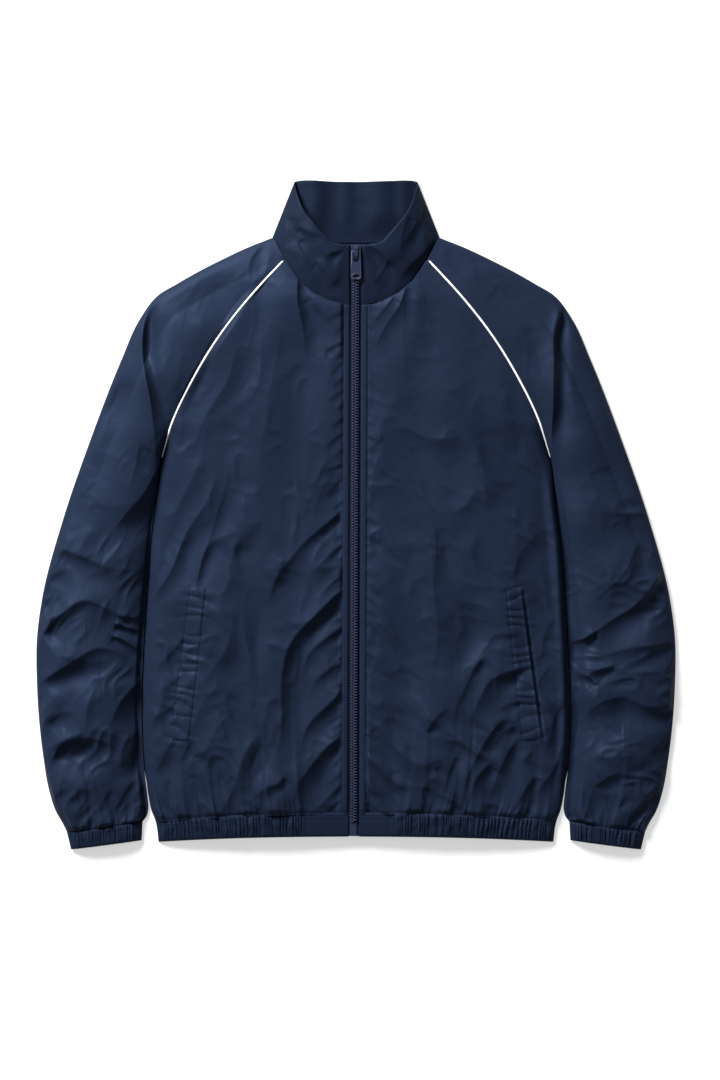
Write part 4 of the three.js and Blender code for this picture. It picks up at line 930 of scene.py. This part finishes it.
# Sleeves and cuffs, each a flattened tube
sleeveSize = dict(columns=190, rows=400, flat=(0.40, 0.83), area=0.17)
cuffSize = dict(columns=260, rows=14, wall=1.2, flat=(0.19, 0.026), area=0.0042)
sleeveFolds = dict(right=rightSleeveFolds, left=leftSleeveFolds)
for side, sign in sides:
    def sleeveShape(a, v):
        return sleeveSurface(sign, sleeveFolds[side], a, v)

    def cuffShape(a, v):
        return cuffSurface(sign, a, v)

    halves = ["sleeve_front_" + side, "sleeve_back_" + side]
    addCloth(side + "Sleeve", sleeveSize, sleeveShape, "shell", halves, closed=True)
    addCloth(side + "Cuff", cuffSize, cuffShape, "band", ["cuff_" + side], closed=True)
print("jacket: sleeves laid")

# Collar, standing round the neck and folded down at its sides
collarSize = dict(columns=340, rows=50, wall=1.8, flat=(0.46, 0.085), area=0.03)
# the collar's outside wears the darker collar nylon and the inside of its wall the darker inside nylon, both
# painted shade
collarPiece = addCloth("collarBand", collarSize, collarSurface, "collar", ["collar"])
collarPiece.data.materials.append(finishes["insideShade"])
collarPiece.modifiers["wall"].material_offset = 1
print("jacket: collar laid")


# Heights of the laid cloth, in garment millimetres
def treesOf(pieces):
    bpy.context.view_layer.update()
    shown = bpy.context.evaluated_depsgraph_get()
    return [BVHTree.FromObject(piece, shown) for piece in pieces]


def heightOver(trees, x, y):
    best = 0.0
    for tree in trees:
        hit = tree.ray_cast(sceneMm(x, y, 200), Vector((0, 0, -1)))[0]
        if hit is not None:
            best = max(best, hit.z / mm)
    return best


clothTrees, collarTree = treesOf(fronts), treesOf([collarPiece])

# Welts, each a strip laid on its front between two rows of stitches
weltSize = dict(columns=22, rows=170, lift=0.55, edge=0.1, round=1.6, wide=22, tall=182,
                flat=(0.0235, 0.184), area=0.0041)
welts = []
for side, sign in sides:
    def weltShape(a, v):
        inner, outer = weltEdges(1 - v)
        x, y = sign * mix(inner, outer, a), mix(weltForm["topY"], weltForm["lowY"], 1 - v)
        onCloth = np.array([heightOver(clothTrees, px, py) for px, py in zip(x, y)])
        form = weltSize
        fromEdge = np.minimum(np.minimum(a, 1 - a) * form["wide"], np.minimum(v, 1 - v) * form["tall"])
        z = onCloth + mix(form["edge"], form["lift"], ease(fromEdge, 0, form["round"]))
        return np.column_stack([x, y, z])

    welts.append(addCloth(side + "Welt", weltSize, weltShape, "shell", ["pocket_welt_" + side]))
print("jacket: welts laid")

# Piping, a cord in a bias strip along each raglan seam
pipeForm = dict(columns=12, rows=220, radius=1.15, endShare=0.006, endThin=0.9, sunk=0.35,
                fromU=0.118, toU=0.985, flat=(0.0102, 0.29), area=0.0013)
seamFrom = 0.11  # share of the sleeve's raglan edge that lies along the neck
for side, sign in sides:
    def pipeShape(a, v):
        form = pipeForm
        u = mix(form["fromU"], form["toU"], v)
        share = (u - seamFrom) / (1 - seamFrom)
        seam = alongLine(frontRaglan, share)
        run = alongLine(frontRaglan, np.minimum(share + 0.01, 1.0)) - alongLine(frontRaglan, share - 0.01)
        run = run / np.hypot(run[:, 0], run[:, 1])[:, None]
        angle = 2 * math.pi * a
        taper = np.maximum(1 - v / form["endShare"], 0) + np.maximum(1 - (1 - v) / form["endShare"], 0)
        radius = form["radius"] * (1 - form["endThin"] * taper)
        x = seam[:, 0] + radius * np.cos(angle) * -run[:, 1]
        y = seam[:, 1] + radius * np.cos(angle) * run[:, 0]
        return np.column_stack([sign * x, y, raglanHeight(u) - form["sunk"] + radius * np.sin(angle)])

    addCloth(side + "Piping", pipeForm, pipeShape, "piping", ["piping_" + side],
             closed=True)

# Zip: two tapes under the folded edges, and between them the teeth
tapeForm = dict(columns=12, rows=900, inner=0.4, outer=15.5, drop=2.2, lowY=1.2, topY=706,
                rib=0.12, ribPitch=1.6, slant=3, flat=(0.0151, 0.705), area=0.01065)
toothForm = dict(pitch=3.4, lowY=18.5, topY=688, reach=3.9, inner=-0.6, width=1.9, height=2.2, rise=0.2,
                 bevel=0.4, headWide=0.72, headTall=0.9)


def zipZ(y):
    return curveAt(zipHeights, y)


def zipPlace(y, rise):
    return sceneMm(float(zipX(y)), y, float(zipZ(y)) + rise)


for side, sign in sides:
    def tapeShape(a, v):
        form = tapeForm
        y = mix(form["lowY"], form["topY"], v)
        x = zipX(y) + sign * mix(form["inner"], form["outer"], a)
        herringbone = y + form["slant"] * np.abs(np.mod(a * 6, 2) - 1)
        ribs = form["rib"] * np.sin(2 * math.pi * herringbone / form["ribPitch"])
        return np.column_stack([x, y, zipZ(y) - form["drop"] + ribs])

    addCloth(side + "Tape", tapeForm, tapeShape, "tape", ["zip_tape_" + side])


def repeatedMesh(name, build, matrices):
    # one mesh of many copies of the shape that build makes
    body = bmesh.new()
    build(body)
    template = bpy.data.meshes.new("template")
    body.to_mesh(template)
    body.clear()
    for matrix in matrices:
        copy = template.copy()
        copy.transform(matrix)
        body.from_mesh(copy)
        bpy.data.meshes.remove(copy)
    bpy.data.meshes.remove(template)
    return finishMesh(body, name)


def toothShape(body):
    # a block that narrows to a rounded head at its inner end
    form = toothForm
    length = form["reach"] - form["inner"]
    bmesh.ops.create_cube(body, size=1)
    size = (length * mm, form["width"] * mm, form["height"] * mm)
    bmesh.ops.scale(body, verts=body.verts, vec=size)
    heads = [vertex for vertex in body.verts if vertex.co.x < 0]
    bmesh.ops.scale(body, verts=heads, vec=(1, form["headWide"], form["headTall"]))
    bmesh.ops.bevel(body, geom=body.edges[:], offset=form["bevel"] * mm, segments=2, affect="EDGES",
                    profile=0.5, material=-1)
    bmesh.ops.translate(body, verts=body.verts, vec=((form["inner"] + length / 2) * mm, 0, 0))


toothPlaces = []
toothCount = int((toothForm["topY"] - toothForm["lowY"]) / toothForm["pitch"])
for turn, shift in ((math.pi, 0.0), (0.0, 0.5)):
    for index in range(toothCount):
        place = zipPlace(toothForm["lowY"] + (index + shift) * toothForm["pitch"], toothForm["rise"])
        toothPlaces.append(Matrix.Translation(place) @ Matrix.Rotation(turn, 4, "Z"))
addPiece("zipTeeth", repeatedMesh("zipTeeth", toothShape, toothPlaces), "teeth", ["zip_chain"])
print("jacket: zip closed")

for node, finish in (("zip_box", "teeth"), ("zip_slider", "enamel"), ("zip_pull", "enamel")):
    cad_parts[node].data.materials.clear()
    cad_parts[node].data.materials.append(finishes[finish])

# Rims of the pull tab, along its outline and its eye: enamel worn bright, and lighter still as a painted
# highlight
tabForm = dict(pivotY=699, pivotRise=2.6, slopeRise=4.5, slopeRun=79, half=6.3, neckHalf=5.4, barUp=0.9,
               length=33.6, corner=3.0, taperTo=7.0, rimUp=0.65, rim=0.36, cornerSteps=6,
               eyeY=-29.0, eyeWide=4.8, eyeTall=2.6, eyeSteps=28)


def tabOutline():
    form = tabForm
    low, half, corner = form["barUp"] - form["length"], form["half"] - form["rim"], form["corner"]
    right = [(form["neckHalf"] - form["rim"], form["barUp"] - form["rim"]), (half, low + form["taperTo"]),
             (half, low + corner)]
    for step in range(1, form["cornerSteps"] + 1):
        t = step / form["cornerSteps"] * math.pi / 2
        right.append((half - corner * (1 - math.cos(t)), low + corner * (1 - math.sin(t)) + form["rim"]))
    return right + [(-x, y) for x, y in reversed(right)]


def tabEye():
    form = tabForm
    turns = [2 * math.pi * step / form["eyeSteps"] for step in range(form["eyeSteps"])]
    return [(form["eyeWide"] * math.cos(t), form["eyeY"] + form["eyeTall"] * math.sin(t)) for t in turns]


def ringMesh(name, loops, radius):
    # round bead along each closed loop of points
    line = bpy.data.curves.new(name, "CURVE")
    line.dimensions = "3D"
    line.bevel_depth = radius
    line.bevel_resolution = 2
    for loop in loops:
        spline = line.splines.new("POLY")
        spline.points.add(len(loop) - 1)
        for point, place in zip(spline.points, loop):
            point.co = (*place, 1)
        spline.use_cyclic_u = True
    holder = addObject(name, line)
    shown = bpy.context.evaluated_depsgraph_get()
    mesh = bpy.data.meshes.new_from_object(holder.evaluated_get(shown))
    bpy.data.objects.remove(holder)
    bpy.data.curves.remove(line)
    mesh.name = name
    mesh.shade_smooth()
    return mesh


tabTurn = Matrix.Rotation(math.atan2(tabForm["slopeRise"], tabForm["slopeRun"]), 4, "X")
toTab = Matrix.Translation(zipPlace(tabForm["pivotY"], tabForm["pivotRise"])) @ tabTurn
rims = [[toTab @ (Vector((x, y, tabForm["rimUp"])) * mm) for x, y in loop]
        for loop in (tabOutline(), tabEye())]
addPiece("pullRims", ringMesh("pullRims", rims, tabForm["rim"] * mm), "rubAndHighlight", body="pull_tab")


# Stitches: short thread ovals pressed into the cloth
stitchForm = dict(pitch=3.3, bandPitch=3.0, endPitch=2.2, share=0.35, length=2.5, width=0.62, height=0.5,
                  sunk=0.05, weltInset=2, endInset=1.5, insideAt=0.92, outsideAt=0.94)


def stitchShape(body):
    bmesh.ops.create_uvsphere(body, u_segments=6, v_segments=4, radius=0.5)
    bmesh.ops.rotate(body, verts=body.verts, matrix=Matrix.Rotation(math.pi / 2, 3, "Y"))
    size = (stitchForm["length"] * mm, stitchForm["width"] * mm, stitchForm["height"] * mm)
    bmesh.ops.scale(body, verts=body.verts, vec=size)


stitches = []  # matrices of all the stitches


def sew(trees, line, pitch=stitchForm["pitch"]):
    # a row of stitches along a line of (x, y) points laid on the cloth
    line = np.array(line, float)
    run = np.concatenate([[0], np.cumsum(np.hypot(*np.diff(line, axis=0).T))])
    for index in range(int(run[-1] // pitch)):
        middle, reach = (index + 0.5) * pitch, stitchForm["share"] * pitch
        ends = []
        for at in (middle - reach, middle + reach):
            x, y = (float(np.interp(at, run, line[:, axis])) for axis in (0, 1))
            ends.append(sceneMm(x, y, heightOver(trees, x, y) + stitchForm["sunk"]))
        along = (ends[1] - ends[0]).normalized()
        across = Vector((0, 0, 1)).cross(along).normalized()
        turn = Matrix((along, across, along.cross(across))).transposed().to_4x4()
        stitches.append(Matrix.Translation((ends[0] + ends[1]) / 2) @ turn)


bands = treesOf([bpy.data.objects[side + band] for band in ("HemBand", "Cuff") for side, _ in sides])
weltTrees = treesOf(welts)
for side, sign in sides:
    fromZip = sign * (garment["zipHalf"] + cloth["placket"])
    rows = ((clothTrees, np.linspace(31, 632, 60)), (collarTree, np.linspace(640, 706, 12)))
    for trees, heights in rows:
        sew(trees, [(float(zipX(y)) + fromZip, y) for y in heights])
    for share in bandForm["stitchRows"]:
        q = np.linspace(0.03, 0.985, 120)
        sew(bands, hemSurface(sign, q, np.full_like(q, share))[:, :2], stitchForm["bandPitch"])
        line = np.column_stack(cuffPlan(sign, share, np.linspace(0.06, 0.94, 50)))
        sew(bands, line, stitchForm["bandPitch"])
    # the welts are sewn down at both ends and along their edges, but for the left one's outer edge
    inset = stitchForm["weltInset"]
    ends = ((0, weltForm["topY"] - inset), (1, weltForm["lowY"] + inset))
    for place in (weltForm["stitch"], 1 - weltForm["stitch"]):
        if sign < 0 or place < 0.5:
            sew(weltTrees, [(sign * mix(*weltEdges(down), place), y) for down, y in ends])
    for down, y in ends:
        inner, outer = weltEdges(down)
        line = [(sign * (inner + stitchForm["endInset"]), y), (sign * (outer - stitchForm["endInset"]), y)]
        sew(weltTrees, line, stitchForm["endPitch"])
    for stations, up in ((np.linspace(6.6, 11, 40), stitchForm["insideAt"]),
                         (np.linspace(0.2, 5.6, 60), stitchForm["outsideAt"])):
        row = curveAt(collarRows, stations)
        x, y = mix(row[:, 0], row[:, 3], up), mix(row[:, 1], row[:, 4], up)
        sew(collarTree, np.column_stack([sign * x, y]))
addPiece("stitching", repeatedMesh("stitching", stitchShape, stitches), "thread")
print("jacket: stitches sewn", len(stitches))

# Table, light and camera
stage = dict(photoHeight=1.296, distance=5.0, centre=(0.0048, -0.030), sensor=36,
             tableHalf=6, tableDrop=0.0002, tableGlow=0.5,
             lampPlace=(-1.95, 2.75, 2.05), lampSize=1.6, lampPower=540,
             sky=(0.96, 0.98, 1.0, 1), skyPower=0.41)
table = bmesh.new()
bmesh.ops.create_grid(table, x_segments=1, y_segments=1, size=stage["tableHalf"])
bmesh.ops.translate(table, verts=table.verts, vec=(0, 0, -stage["tableDrop"]))
floor = addObject("table", finishMesh(table, "table"))
tableFinish = clothMaterial("paleTable", (0.40, 0.40, 0.402), (0.42, 0.42, 0.422), 0.9, 3, 0, 0)
glow = tableFinish.node_tree.nodes["Principled BSDF"]
glow.inputs["Emission Color"].default_value = (1, 1, 1, 1)
glow.inputs["Emission Strength"].default_value = stage["tableGlow"]
floor.data.materials.append(tableFinish)

lampData = bpy.data.lights.new("key", "AREA")
lampData.shape = "DISK"
lampData.size = stage["lampSize"]
lampData.energy = stage["lampPower"]
lamp = addObject("key", lampData)
lamp.location = stage["lampPlace"]
lamp.rotation_euler = Vector(stage["lampPlace"]).to_track_quat("Z", "Y").to_euler()

world = bpy.data.worlds.new("studio")
world.use_nodes = True
sky = world.node_tree.nodes["Background"]
sky.inputs["Color"].default_value = stage["sky"]
sky.inputs["Strength"].default_value = stage["skyPower"]
bpy.context.scene.world = world

cameraData = bpy.data.cameras.new("camera")
cameraData.sensor_width = stage["sensor"]
cameraData.lens = stage["sensor"] * stage["distance"] / stage["photoHeight"]
camera = addObject("camera", cameraData)
camera.location = (*stage["centre"], stage["distance"])
bpy.context.scene.camera = camera
bpy.context.scene.view_settings.view_transform = "Standard"


# Sizes of what was made beside those of the frame
def boxOf(pieces):
    bpy.context.view_layer.update()
    shown = bpy.context.evaluated_depsgraph_get()
    corners = []
    for piece in pieces:
        made = piece.evaluated_get(shown)
        corners += [made.matrix_world @ Vector(corner) for corner in made.bound_box]
    return [[pick(corner[axis] for corner in corners) for axis in range(3)] for pick in (min, max)]


shownPieces = [piece for piece in bpy.context.scene.objects
               if piece.type == "MESH" and piece != floor and not piece.hide_render]
{"cad": [list(cadLow), list(cadHigh)], "visual": boxOf(shownPieces)}
